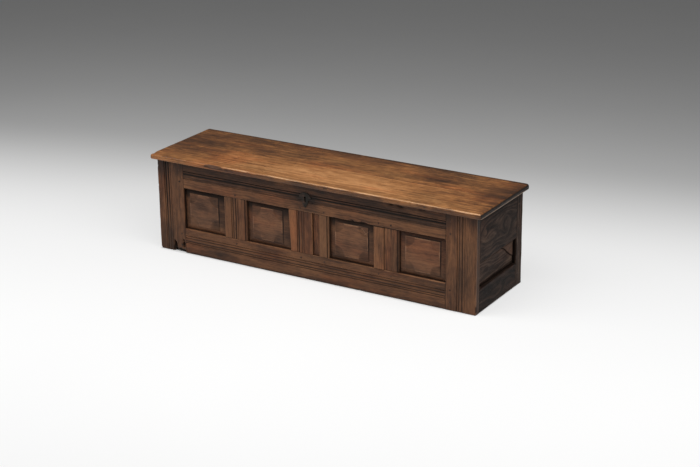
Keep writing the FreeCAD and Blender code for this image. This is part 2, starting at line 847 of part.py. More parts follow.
def hinge_pin(x):
    start = point(x - hinge_width / 2, hinge_y, hinge_z)
    return Part.makeCylinder(pin_radius, hinge_width, start, point(1, 0, 0))


for side, hand in ((-1, "left"), (1, "right")):
    hinge_x = side * (half_width - hinge_inset)
    strap = hand + "_hinge_strap"
    leaf = hand + "_hinge_leaf"
    pieces[strap] = hinge_strap(hinge_x)
    pieces[leaf] = hinge_leaf(hinge_x)
    pieces[hand + "_hinge_pin"] = hinge_pin(hinge_x)
    later_cut(["back_top_rail"], block(
        around(hinge_x, hinge_width + 2 * tenon_end_gap), back_frame_y,
        (lid_under - hinge_plate - running_gap, lid_under),
    ))
    for number in range(strap_nail_count):
        nail_y = strap_nail_start + number * strap_nail_pitch
        lid_nails.append(nailed(
            point(hinge_x, nail_y, strap_z[0]), point(0, 0, -1), hinge_plate + nail_lid_depth,
            [strap] + lid_boards,
        ))
    for drop in leaf_nail_heights:
        for nail_side in (-1, 1):
            carcase_nails.append(nailed(
                point(hinge_x + nail_side * leaf_nail_side, leaf_y[1], hinge_z - drop), point(0, 1, 0),
                hinge_plate + nail_wood_depth, [leaf, "back_top_rail"],
            ))

# Lock: escutcheon and keyhole in front, plate, cover, bolt and spring inside, staple on the lid
escutcheon_y = (front_y - escutcheon_plate, front_y)
escutcheon_centre = lid_under - escutcheon_drop
keyhole_top = lid_under - keyhole_drop


def escutcheon():
    """Iron shield with an arched head, two ears, a waist and a narrow tail."""
    half = escutcheon_width / 2
    top = escutcheon_centre + escutcheon_height / 2
    tail = escutcheon_centre - escutcheon_height / 2
    ear_z = escutcheon_centre + escutcheon_ear
    waist_z = escutcheon_centre - escutcheon_ear

    def at(across, z):
        return point(lock_x + across, escutcheon_y[0], z)
    hollow = middle((half, escutcheon_waist)) - escutcheon_hollow
    hollow_z = middle((ear_z, waist_z)) + escutcheon_hollow
    belly = middle((escutcheon_waist, 0.0)) + escutcheon_hollow
    belly_z = middle((waist_z, tail))
    outline = [
        at(-half, ear_z),
        (at(0.0, top), at(half, ear_z)),
        (at(hollow, hollow_z), at(escutcheon_waist, waist_z)),
        (at(belly, belly_z), at(0.0, tail)),
        (at(-belly, belly_z), at(-escutcheon_waist, waist_z)),
        (at(-hollow, hollow_z), at(-half, ear_z)),
    ]
    return drawn(outline, point(0, escutcheon_plate, 0))


def keyhole(y):
    eye_z = keyhole_top - keyhole_eye_radius
    eye = Part.makeCylinder(keyhole_eye_radius, y[1] - y[0], point(lock_x, y[0], eye_z), point(0, 1, 0))
    return eye.fuse(block(around(lock_x, keyhole_slot_width), y, (keyhole_top - keyhole_length, eye_z)))


lock_top = lid_under - lock_lid_gap
lock_z = (lock_top - lock_height, lock_top)
lock_plate_y = (front_inner_y, front_inner_y + lock_plate_thickness)
cover_y = (lock_plate_y[1], lock_plate_y[1] + lock_cover_depth)
bolt_z = around(lock_top - bolt_drop, bolt_height)
bolt_y = around(middle(cover_y), bolt_thickness)
bolt_tip_x = lock_x - staple_thickness / 2 - bolt_tip_gap
bolt_x = (bolt_tip_x - bolt_length, bolt_tip_x)
cover_half = lock_x - bolt_x[0] + lock_end_room + lock_wall
cover_x = (lock_x - cover_half, lock_x + cover_half)
lock_plate_x = grown(cover_x, lock_flange)
staple_y = around(middle(bolt_y), staple_width)
staple_x = around(lock_x, staple_thickness)
guide_xs = [lock_x + guide_pitch * step for step in (-1.5, -0.5, 0.5)]

pieces["escutcheon"] = escutcheon().cut(keyhole(escutcheon_y))
pieces["lock_plate"] = block(lock_plate_x, lock_plate_y, lock_z)
pieces["lock_plate"] = pieces["lock_plate"].cut(keyhole(lock_plate_y))
later_cut(["front_top_rail"], keyhole(front_frame_y))

cover_hollow = block(
    grown(cover_x, -lock_wall), (cover_y[0], cover_y[1] - lock_wall), grown(lock_z, -lock_wall)
)
cover = block(cover_x, cover_y, lock_z).cut(cover_hollow)
guide_z = (bolt_z[0] - bolt_height, lock_top - lock_wall)
for guide_x in guide_xs:
    guide = block(around(guide_x, guide_thickness), (cover_y[0], cover_y[1] - lock_wall), guide_z)
    guide = guide.cut(block(
        around(guide_x, guide_thickness), grown(bolt_y, bolt_play), grown(bolt_z, bolt_play)
    ))
    cover = cover.fuse(guide)
pieces["lock_cover"] = cover.cut(block(
    grown(staple_x, staple_slot_play), grown(staple_y, staple_slot_play), (lock_top - lock_wall, lock_top)
))

talon_x = around(middle(bolt_x) + bolt_travel / 2, talon_width)
bolt = block(bolt_x, bolt_y, bolt_z)
pieces["lock_bolt"] = bolt.cut(block(talon_x, bolt_y, (bolt_z[0], bolt_z[0] + talon_depth)))

staple_bottom = bolt_z[0] - staple_eye_play - staple_rim
staple = block(staple_x, staple_y, (staple_bottom, lid_under - catch_plate))
staple_eye = block(staple_x, grown(bolt_y, staple_eye_play), grown(bolt_z, staple_eye_play))
catch_y = (lock_plate_y[0] + tenon_end_gap, lock_plate_y[0] + tenon_end_gap + catch_plate_depth)
catch_z = (lid_under - catch_plate, lid_under)
catch = block(around(lock_x, catch_plate_width), catch_y, catch_z)
pieces["lid_staple"] = catch.fuse(staple.cut(staple_eye))
for side in (-1, 1):
    nail_x = lock_x + side * (catch_plate_width / 2 - catch_nail_inset)
    lid_nails.append(nailed(
        point(nail_x, middle(catch_y), catch_z[0]), point(0, 0, -1), catch_plate + nail_lid_depth,
        ["lid_staple"] + lid_boards,
    ))
    for nail_z in grown(lock_z, -catch_nail_inset):
        nail_x = lock_x + side * (cover_half + lock_flange / 2)
        carcase_nails.append(nailed(
            point(nail_x, lock_plate_y[1], nail_z), point(0, 1, 0),
            lock_plate_thickness + nail_wood_depth, ["lock_plate", "front_top_rail"],
        ))

# Leaf spring that holds the bolt where the key leaves it
spring_x = (guide_xs[0] + guide_thickness, guide_xs[1] - guide_thickness)
spring_seat = lock_top - lock_wall
spring_low = bolt_z[1] + bolt_play
spring_y = around(middle(bolt_y), spring_width)
pieces["lock_spring"] = drawn([
    point(spring_x[0], spring_y[0], spring_seat),
    point(spring_x[0] + spring_thickness, spring_y[0], spring_seat),
    point(spring_x[1], spring_y[0], spring_low + spring_thickness),
    point(spring_x[1], spring_y[0], spring_low),
    point(spring_x[1] - spring_pad, spring_y[0], spring_low),
], point(0, spring_width, 0))

escutcheon_nails = []
for across, rise in ((-1, 0), (1, 0), (0, 1), (0, -1)):
    nail_x = lock_x + across * (escutcheon_width / 2 - escutcheon_nail_inset)
    nail_z = escutcheon_centre + rise * (escutcheon_height / 2 - escutcheon_nail_inset)
    if rise == 0:
        nail_z += escutcheon_ear
    escutcheon_nails.append(nailed(
        point(nail_x, escutcheon_y[0], nail_z), point(0, -1, 0), escutcheon_plate + nail_lid_depth,
        ["escutcheon", "front_top_rail"], small=True,
    ))
pieces["escutcheon_nails"] = Part.Compound(escutcheon_nails)
pieces["carcase_nails"] = Part.Compound(carcase_nails)
pieces["lid_nails"] = Part.Compound(lid_nails)

os.makedirs("parts", exist_ok=True)
for name, shape in pieces.items():
    if name in cuts:
        shape = shape.cut(cuts[name])
    shape.exportStep("parts/%s.step" % name)
    print(name, len(shape.Solids), shape.isValid(), round(shape.Volume))
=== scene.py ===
import math

import bmesh
import bpy
import numpy as np
from mathutils import Matrix, Vector


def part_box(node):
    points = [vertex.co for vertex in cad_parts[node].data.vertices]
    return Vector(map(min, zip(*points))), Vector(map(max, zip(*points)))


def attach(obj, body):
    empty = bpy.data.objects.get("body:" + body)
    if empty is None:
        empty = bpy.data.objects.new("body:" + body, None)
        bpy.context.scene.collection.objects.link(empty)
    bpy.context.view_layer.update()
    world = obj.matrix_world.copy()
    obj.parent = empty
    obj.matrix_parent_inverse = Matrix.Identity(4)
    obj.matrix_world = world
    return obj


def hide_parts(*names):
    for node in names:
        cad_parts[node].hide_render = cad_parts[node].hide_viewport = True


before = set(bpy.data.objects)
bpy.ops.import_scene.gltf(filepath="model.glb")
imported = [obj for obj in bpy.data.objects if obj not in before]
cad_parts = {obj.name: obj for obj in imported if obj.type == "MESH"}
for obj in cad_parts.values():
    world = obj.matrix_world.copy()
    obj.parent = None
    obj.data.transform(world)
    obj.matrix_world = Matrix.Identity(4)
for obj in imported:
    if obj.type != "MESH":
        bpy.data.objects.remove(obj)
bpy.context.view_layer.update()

# Coffer chest: worn, waxed boards with scratch mouldings, fielded panels, pegs and forged iron.
# Metres, in the chest's own frame: +X to the right, +Y to the back, +Z up.

scene = bpy.context.scene
X = Vector((1, 0, 0))
Y = Vector((0, 1, 0))
Z = Vector((0, 0, 1))
hands = ("left", "right")


def opening(side):
    """Heights of the opening between a side's bottom and top rails."""
    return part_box(side + "_bottom_rail")[1].z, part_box(side + "_top_rail")[0].z


# Places taken from the chest
left_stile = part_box("front_left_stile")
right_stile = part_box("front_right_stile")
rear_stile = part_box("rear_right_stile")
half_width = right_stile[1].x
rail_half = right_stile[0].x
front_y = left_stile[0].y
front_inner_y = left_stile[1].y
back_y = rear_stile[1].y
end_inner_x = rear_stile[0].x
rear_stile_y = rear_stile[0].y
body_top = left_stile[1].z
front_thickness = front_inner_y - front_y
end_thickness = half_width - end_inner_x
back_thickness = back_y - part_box("back_top_rail")[0].y
opening_z = opening("front")
end_opening_z = opening("right_end")
back_opening_z = opening("back")
lid_low, lid_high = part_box("lid_front_board")
lid_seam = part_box("lid_back_board")[0].y
lid_back_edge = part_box("lid_back_board")[1].y
lid_front_edge = lid_low.y
lid_half = lid_high.x
lock_x = sum(corner.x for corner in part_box("escutcheon")) / 2

# Scratch mouldings and fields: each of a band's four quirks has its own strength
reed_widths = (0.010, 0.016, 0.012)
quirk_slope = 0.0015
quirk_depth = 0.0045
reed_crown = 0.0005
reed_roundness = 1.7
band_width = sum(reed_widths) + 2 * quirk_slope
stile_quirks = (0.75, 0.85, 0.75, 0.50)
top_quirks = (0.45, 0.25, 1.0, 0.95)
soft_quirks = (0.60, 0.55, 0.65, 0.40)
right_quirks = (0.50, 0.45, 0.55, 0.30)
faint_quirks = (0.75, 0.60, 0.45, 0.30)
bottom_quirks = (0.70, 0.55, 0.50, 0.45)
left_stile_band = 0.058
top_band_rise = 0.065
bottom_band_height = 0.071
ovolo_width = 0.010
ovolo_step = 0.002
ovolo_depth = 0.009
slat_sink = 0.009
right_board_sink = 0.004
panel_border = 0.01725
panel_back = 0.02575
field_sink = 0.008
field_shoulder = 0.0025
field_spandrel_sink = 0.0012
field_left_bevel = 0.030
field_rail_bevel = 0.023
field_waver = 0.0012
field_step = 0.0024
scoop_radius = 0.048
panel_lap = 0.0015
panel_step = 0.0017
end_panel_border = 0.01825
end_panel_back = 0.02675
end_panel_step = 0.0028
end_field_sink = 0.012
end_field_bevel = 0.016
back_panel_sink = 0.01025
back_panel_back = 0.01875
crisp_edges = {"arris": (0.0002, 0.0002), "end_arris": 0.0002}

# Wear: a swell is the length of one ripple, along and across the grain
edge_lines = (0.0, 0.0003, 0.0008, 0.0016, 0.0030)
closest_lines = 0.00015
plane_ripple = 0.0006
plane_swell = (0.14, 0.05)
gouge_swell = (0.009, 0.006)
arris_swell = 0.035
chip_swell = 0.012
chipped_stretch = 0.06
end_grime = 0.0022
back_arris = 0.0010
side_share = 0.35
smooth_angle = math.radians(38)


def smooth(t):
    """Soft step from 0 to 1."""
    t = np.clip(t, 0, 1)
    return t * t * (3 - 2 * t)


def scatter(i, j, seed):
    """Repeatable number from 0 to 1 for each cell of a lattice."""
    mixed = np.sin(i * 127.1 + j * 311.7 + seed * 74.7) * 43758.5453
    return mixed - np.floor(mixed)


def ripple(u, v, seed):
    """Smooth unevenness from 0 to 1, with one swell to each unit of u and v."""
    i = np.floor(u)
    j = np.floor(v)
    fu = smooth(u - i)
    fv = smooth(v - j)
    near = scatter(i, j, seed) * (1 - fu) + scatter(i + 1, j, seed) * fu
    far = scatter(i, j + 1, seed) * (1 - fu) + scatter(i + 1, j + 1, seed) * fu
    return near * (1 - fv) + far * fv


def rounding(edge, radius):
    """Drop of a rounded arris at a distance from its edge."""
    reach = np.clip(1 - edge / radius, 0, 1)
    return radius * (1 - np.sqrt(1 - reach ** 2))


def spot(u, v, half_u, half_v):
    """Soft-edged patch, 1 in the middle and 0 outside."""
    return np.exp(-((u / half_u) ** 2 + (v / half_v) ** 2) ** 2)


def streak(u, half):
    """Soft-edged stripe, 1 along the middle and 0 outside."""
    return spot(u, 0, half, 1)


def grid_lines(extent, step, extra):
    """Lines over an extent, closer together at both ends."""
    near = np.array(edge_lines)
    even = np.linspace(0, extent, max(2, round(extent / step) + 1))
    every = np.unique(np.concatenate([even, near, extent - near, np.array(extra, float)]))
    every = every[(every >= 0) & (every <= extent)]
    kept = [0.0]
    for line in every:
        if line - kept[-1] > closest_lines and extent - line > closest_lines:
            kept.append(line)
    return np.array(kept + [extent])


def seed_of(name):
    """Small fixed number that tells one piece's wear and grain from another's."""
    return sum((place + 1) * ord(letter) for place, letter in enumerate(name)) % 97


def offset_of(seed):
    """Where in its log a board was cut."""
    return np.array([seed * 1.37 % 7, seed * 0.73 % 5, seed * 0.41 % 3])


def bent_grain(along, across, knots):
    """Grain that flows round knots and rings them."""
    bent = across.copy()
    for knot_along, knot_across, size in knots:
        du = along - knot_along
        dv = across - knot_across
        far = np.maximum(np.sqrt(du ** 2 + dv ** 2), 1e-5)
        outside = -dv * (size / np.maximum(far, size)) ** 2
        inside = knot_across + (far - size) - across
        bent += np.where(far > size, outside, inside)
    return bent


def mark(mesh, grain, age, patina):
    """Store each point's place in its log, its tone, its grime and painted shade, its rub and painted
    highlight, and the share of patina left on it.
    """
    for title, kind, field, values in (
        ("grain", "FLOAT_VECTOR", "vector", grain), ("age", "FLOAT_VECTOR", "vector", age),
        ("patina", "FLOAT", "value", patina),
    ):
        mesh.attributes.new(title, kind, "POINT").data.foreach_set(field, values.ravel())


def smoothed(mesh, slot):
    """Give a mesh its finish, smooth apart from its arrises."""
    mesh.materials.clear()
    mesh.materials.append(finishes[slot])
    mesh.shade_smooth()
    mesh.set_sharp_from_angle(angle=smooth_angle)


def settle(name, mesh, body, nodes):
    """Put a piece in the scene, where it rides on a body and stands for CAD nodes."""
    piece = bpy.data.objects.new(name, mesh)
    scene.collection.objects.link(piece)
    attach(piece, body)
    if nodes:
        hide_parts(*nodes)


def loft(node, rings, grain, age, patina, slot, body):
    """Closed board in place of its node, from rings of points with a cap at each end."""
    stations, points = rings.shape[:2]
    start = np.arange(stations - 1)[:, None] * points
    here = np.arange(points)
    after = (here + 1) % points
    quads = np.stack([start + here, start + after, start + points + after, start + points + here], -1)
    last = (stations - 1) * points
    caps = [list(range(points))[::-1], list(range(last, last + points))]
    verts = rings.reshape(-1, 3)
    mesh = bpy.data.meshes.new(node + "_wood")
    mesh.from_pydata(verts.tolist(), [], quads.reshape(-1, 4).tolist() + caps)
    mesh.calc_loop_triangles()
    corners = np.array([triangle.vertices for triangle in mesh.loop_triangles])
    first, second, third = (verts[corners[:, corner]] for corner in range(3))
    if np.einsum("ij,ij->i", first, np.cross(second, third)).sum() < 0:
        mesh.flip_normals()
    mark(mesh, grain, age, patina)
    smoothed(mesh, slot)
    settle(node + "_wood", mesh, body, [node])


def plank(
    node, seat, axes, size, slot, mouldings=(), body="carcase", step=0.009, across_step=0.005, stations=(),
    arris=(0.0012, 0.0012), end_arris=0.0005, walls=(0.0, 0.0), knots=(), tone=0.0, gouges=(), trim=None,
    wear=1.0,
):
    """Board with a worn face, in place of its node.

    Its axes are along the grain, across the face and into the wood. Knots and gouges have their place along
    and across first, then their size. The tone is one number, or a function of the place.
    """
    length, width, thickness = size
    seed = seed_of(node)
    lines = [line for moulding in mouldings for line in getattr(moulding, "lines", ())]
    s, a = np.meshgrid(
        grid_lines(length, step, stations), grid_lines(width, across_step, lines), indexing="ij"
    )
    depth = plane_ripple * ripple(s / plane_swell[0], a / plane_swell[1], seed)
    grime_and_shade = 0 * s
    rub_and_highlight = 0 * s
    for edge, radius, shift in ((a, arris[0], 1), (width - a, arris[1], 2)):
        worn = radius * (0.5 + 1.1 * ripple(s / arris_swell, 0, seed + shift))
        chip = ripple(s / chip_swell, 0, seed + shift + 5) * ripple(s / chipped_stretch, 0, seed + shift + 9)
        worn = worn * (1 + 2.5 * smooth((chip - 0.55) / 0.3))
        depth = depth + rounding(edge, worn)
        rub_and_highlight = np.maximum(rub_and_highlight, wear * np.exp(-edge / (2.5 * radius)) * smooth(radius / 0.002))
    for edge in (s, length - s):
        depth = depth + rounding(edge, end_arris)
        grime_and_shade = np.maximum(grime_and_shade, 0.9 * np.exp(-edge / end_grime))
    for moulding in mouldings:
        cut, dirt, polish_and_highlight = moulding(s, a)
        depth = depth + cut
        grime_and_shade = np.maximum(grime_and_shade, dirt)
        rub_and_highlight = np.maximum(rub_and_highlight, polish_and_highlight)
    for gouge_s, gouge_a, half_s, half_a, deep in gouges:
        ragged = ripple(s / gouge_swell[0], a / gouge_swell[1], seed + 3) - 0.5
        mask = spot(s - gouge_s + half_s * ragged, a - gouge_a - half_a * ragged, half_s, half_a)
        depth = depth + deep * mask
        grime_and_shade = np.maximum(grime_and_shade, mask)
    tones = 0 * s + (tone(s, a) if callable(tone) else tone)

    # Round the right edge, the back and the left edge: place across, depth, grime and painted shade, and
    # share of patina
    side = side_share * thickness
    rest = np.array([
        (width, side, walls[1], 1.0), (width, thickness - back_arris, walls[1], 0.9),
        (width - back_arris, thickness, 0.1, 0.0), (width / 2, thickness, 0.0, 0.0),
        (back_arris, thickness, 0.1, 0.0), (0.0, thickness - back_arris, walls[0], 0.9),
        (0.0, side, walls[0], 1.0),
    ])
    nearer_edge = [-1, -1, -1, 0, 0, 0, 0]

    def round_back(face, values):
        return np.hstack([face, np.ones((len(face), 1)) * values])

    patina = round_back(np.ones_like(s), rest[:, 3])
    a = round_back(a, rest[:, 0])
    depth = round_back(depth, rest[:, 1])
    grime_and_shade = round_back(grime_and_shade, rest[:, 2])
    rub_and_highlight = round_back(rub_and_highlight, np.zeros(len(rest)))
    s = np.hstack([s, s[:, nearer_edge]])
    tones = np.hstack([tones, tones[:, nearer_edge]])
    if trim:
        s, a, depth = trim(s, a, depth)
    turn = np.array([list(axis) for axis in axes])
    rings = np.stack([s, a, depth], -1) @ turn + np.array(seat)
    grain = np.stack([s, bent_grain(s, a, knots), depth], -1) + offset_of(seed)
    age = np.stack([tones, np.clip(grime_and_shade, 0, 1), np.clip(rub_and_highlight, 0, 1)], -1)
    loft(node, rings, grain, age, patina, slot, body)


def board(node, axes, slot, mouldings=(), **details):
    """Plank that fills its node's box."""
    low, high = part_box(node)
    ways = sum(axes, Vector())
    seat = [near if way > 0 else far for near, far, way in zip(low, high, ways)]
    size = [abs(axis.dot(high - low)) for axis in axes]
    plank(node, seat, axes, size, slot, mouldings, **details)


# Mouldings: each gives depth, grime and polish at places along and across a face, and may ask for grid lines;
# some of the grime is painted shade and some of the polish a painted highlight
def reeded(centre, bold, seed, fade=0.0):
    """Three reeds between four quirks, some cut bolder than others, worn here and there and at the foot."""
    low = centre - band_width / 2
    soiled = 0.18 * sum(bold) / len(bold)

    def cut(s, a):
        place = a - low
        depth = np.clip(np.minimum(place, band_width - place) / quirk_slope, 0, 1) * quirk_depth
        start = quirk_slope
        strength = np.where(place < band_width / 2, bold[0], bold[-1])
        for width, before, after in zip(reed_widths, bold, bold[1:]):
            share = (place - start) / width
            reed = reed_crown + (quirk_depth - reed_crown) * np.abs(2 * share - 1) ** reed_roundness
            within = (share > 0) & (share < 1)
            depth = np.where(within, reed, depth)
            strength = np.where(within, np.where(share < 0.5, before, after), strength)
            start += width
        strength = strength * (1 - fade * smooth((0.30 - s) / 0.25))
        deep = depth / quirk_depth
        keep = (0.7 + 0.3 * ripple(s / 0.09, a / 0.02, seed)) * (0.30 + 0.70 * strength)
        dirt = smooth((deep - 0.55 + 0.48 * strength) / 0.35) * (0.12 + 0.88 * strength)
        within = deep > 0
        return depth * keep, np.maximum(dirt, soiled * within), 0.12 * smooth(1 - deep * 3) * within

    cut.lines = [low, low + quirk_slope, low + band_width - quirk_slope, low + band_width]
    reed_start = low + quirk_slope
    for reed_width in reed_widths:
        cut.lines += list(reed_start + reed_width * np.linspace(0, 1, 10))
        reed_start += reed_width
    return cut


def ovolo(width, soot_and_shade=0.0):
    """Stepped ovolo on a muntin's right edge."""
    def cut(s, a):
        edge = width - a
        reach = np.clip(1 - edge / ovolo_width, 0, 1)
        curve = ovolo_step + (ovolo_depth - ovolo_step) * (1 - np.sqrt(1 - reach ** 2))
        inside = smooth((ovolo_width - edge) / 0.0006)
        step_dirt = 0.8 * streak(edge - ovolo_width + 0.0008, 0.0016)
        dirt = np.maximum(step_dirt + 0.7 * smooth((reach - 0.75) / 0.25), soot_and_shade * inside)
        return curve * inside, dirt, 0

    cut.lines = width - ovolo_width * np.linspace(0, 1.06, 14)
    return cut


def fielded(
    width, height, border, field_depth, shoulder, side_bevels, rail_bevel, scoop, seed, soot_and_shade=0.08,
    left_darkening=0.0, top_crest_highlight=0.0,
):
    """Bevelled panel with a raised field, sunk a little in the scooped corners; painted shade heavier up and
    right and under the top rail, and a painted highlight along the upper crest.
    """
    left_bevel, right_bevel = side_bevels

    def cut(s, a):
        left = s - panel_lap
        right = width - s - panel_lap
        rail = np.minimum(a, height - a) - panel_lap
        side_slope = np.minimum(left / left_bevel, right / right_bevel)
        slope = np.clip(np.minimum(side_slope, rail / rail_bevel), 0, 1)
        side_in = np.minimum(left - left_bevel, right - right_bevel)
        inside = np.minimum(side_in, rail - rail_bevel)
        uneven = field_waver * (ripple(s / 0.02, a / 0.02, seed) - 0.5)
        raised = smooth((inside + uneven) / field_step + 0.5)
        foot = streak(inside + 0.0025, 0.0036)
        crest = streak(inside - 0.0022, 0.0028)
        sunk_by = shoulder
        spandrel = 0
        arc = 0
        if scoop:
            corner = np.sqrt(side_in ** 2 + (rail - rail_bevel) ** 2) - scoop
            field = smooth((corner + 4 * uneven) / 0.007 + 0.5)
            sunk_by = shoulder - field_spandrel_sink * (1 - field)
            spandrel = (1 - field) * raised
            arc = streak(corner + 0.004, 0.007) * raised
        depth = border + (field_depth + shoulder - border) * slope - sunk_by * raised + 0.0004 * foot
        edge_dirt = np.exp(-np.clip(np.minimum(np.minimum(left, right), rail), 0, 1) / 0.0042)
        cloudy = 0.5 + ripple(s / 0.035, a / 0.035, seed + 4)
        # Painted shade, heavier toward the top and right of the panel
        shade_up_right = smooth((s / width + a / height - 0.6) / 0.8)
        # Painted shadow of the top rail over the upper bevel
        shaded = smooth((a / height - 0.70) / 0.20)
        dirt = np.maximum(0.82 * edge_dirt, (0.24 + 0.56 * shade_up_right) * foot)
        dirt = np.maximum(dirt, np.maximum(0.30 * cloudy * arc, 0.33 * cloudy * spandrel))
        # Darker left bevel
        beside = left_darkening * smooth((left_bevel - left) / 0.004)
        dirt = np.maximum(dirt, (0.15 + 0.22 * shade_up_right + soot_and_shade * shaded + beside) * (1 - raised))
        # Crest rubbed pale, and a painted highlight added along its upper part
        upper = smooth((a / height - 0.5) / 0.1)
        polish_and_highlight = (0.5 + top_crest_highlight * upper) * crest * (1 - spandrel * (1 - top_crest_highlight * upper))
        return depth, dirt, polish_and_highlight
    return cut


def add_node(tree, kind, settings, sockets):
    """Add a node to a tree: its settings first, then a value or a link for each socket."""
    made = tree.nodes.new(kind)
    for title, value in settings.items():
        if title == "stops":
            ramp = made.color_ramp
            while len(ramp.elements) < len(value):
                ramp.elements.new(1.0)
            for stop, (place, colour) in zip(ramp.elements, value):
                stop.position = place
                stop.color = colour
        else:
            setattr(made, title, value)
    for title, value in sockets.items():
        if isinstance(value, bpy.types.NodeSocket):
            tree.links.new(value, made.inputs[title])
        else:
            made.inputs[title].default_value = value
    return made.outputs


# Shader maths: a thread is a socket that takes part in sums
def sums(operation, turned=False):
    """Operator that adds a Math node, with its two sides turned round for a reflected form."""
    def apply(thread, other):
        first, second = (other, thread) if turned else (thread, other)
        return thread.finish.node("ShaderNodeMath", {"operation": operation}, {0: first, 1: second})
    return apply


class Thread:
    """One socket of a finish."""

    def __init__(self, finish, socket):
        self.finish = finish
        self.socket = socket

    __add__ = sums("ADD")
    __radd__ = sums("ADD", True)
    __sub__ = sums("SUBTRACT")
    __rsub__ = sums("SUBTRACT", True)
    __mul__ = sums("MULTIPLY")
    __rmul__ = sums("MULTIPLY", True)
    __pow__ = sums("POWER")

    def sine(self):
        return self.finish.node("ShaderNodeMath", {"operation": "SINE"}, {0: self})

    def between(self, low, high):
        """Soft step from 0 at low to 1 at high."""
        return self.finish.node(
            "ShaderNodeMapRange", {"interpolation_type": "SMOOTHSTEP"},
            {"Value": self, "From Min": low, "From Max": high},
        )


class Finish:
    """One procedural material, built node by node."""

    def __init__(self, name):
        self.material = bpy.data.materials.new(name)
        self.material.use_nodes = True
        self.tree = self.material.node_tree
        self.tree.nodes.clear()

    def node(self, kind, settings, sockets, out=0):
        """Add a node whose sockets take values or threads, and give one of its outputs."""
        ends = {
            title: value.socket if isinstance(value, Thread) else value for title, value in sockets.items()
        }
        return Thread(self, add_node(self.tree, kind, settings, ends)[out])

    def attribute(self, title, out):
        return self.node("ShaderNodeAttribute", {"attribute_name": title}, {}, out)

    def place(self):
        """Where a point lies in the chest's frame."""
        return self.node("ShaderNodeTexCoord", {}, {}, "Object")

    def parts(self, vector):
        """The three numbers of a vector."""
        return [self.node("ShaderNodeSeparateXYZ", {}, {0: vector}, number) for number in range(3)]

    def noise(self, place, stretch, detail=2.0, roughness=0.5):
        """Noise from 0 to 1, with its own count of swells to the metre along each axis."""
        stretched = self.node("ShaderNodeVectorMath", {"operation": "MULTIPLY"}, {0: place, 1: stretch})
        return self.node(
            "ShaderNodeTexNoise", {},
            {"Vector": stretched, "Scale": 1.0, "Detail": detail, "Roughness": roughness},
        )

    def mix(self, share, first, second, way="MIX"):
        return self.node(
            "ShaderNodeMix", {"data_type": "RGBA", "blend_type": way}, {0: share, 6: first, 7: second}, 2
        )

    def bump(self, strength, distance, height):
        return self.node("ShaderNodeBump", {}, {"Strength": strength, "Distance": distance, "Height": height})

    def shade(self, sockets, white=None):
        """Surface shader and output, with a share of plain white over it where one is given."""
        surface = self.node("ShaderNodeBsdfPrincipled", {}, sockets)
        if white is not None:
            light = self.node("ShaderNodeEmission", {}, {})
            surface = self.node("ShaderNodeMixShader", {}, {0: white, 1: surface, 2: light})
        add_node(self.tree, "ShaderNodeOutputMaterial", {}, {"Surface": surface.socket})
        return self.material


def tint(red, green, blue):
    """Colour as a painter would match it, 0 to 255, made linear."""
    def linear(level):
        level = level / 255
        return level / 12.92 if level <= 0.04045 else ((level + 0.055) / 1.055) ** 2.4
    return (linear(red), linear(green), linear(blue), 1.0)


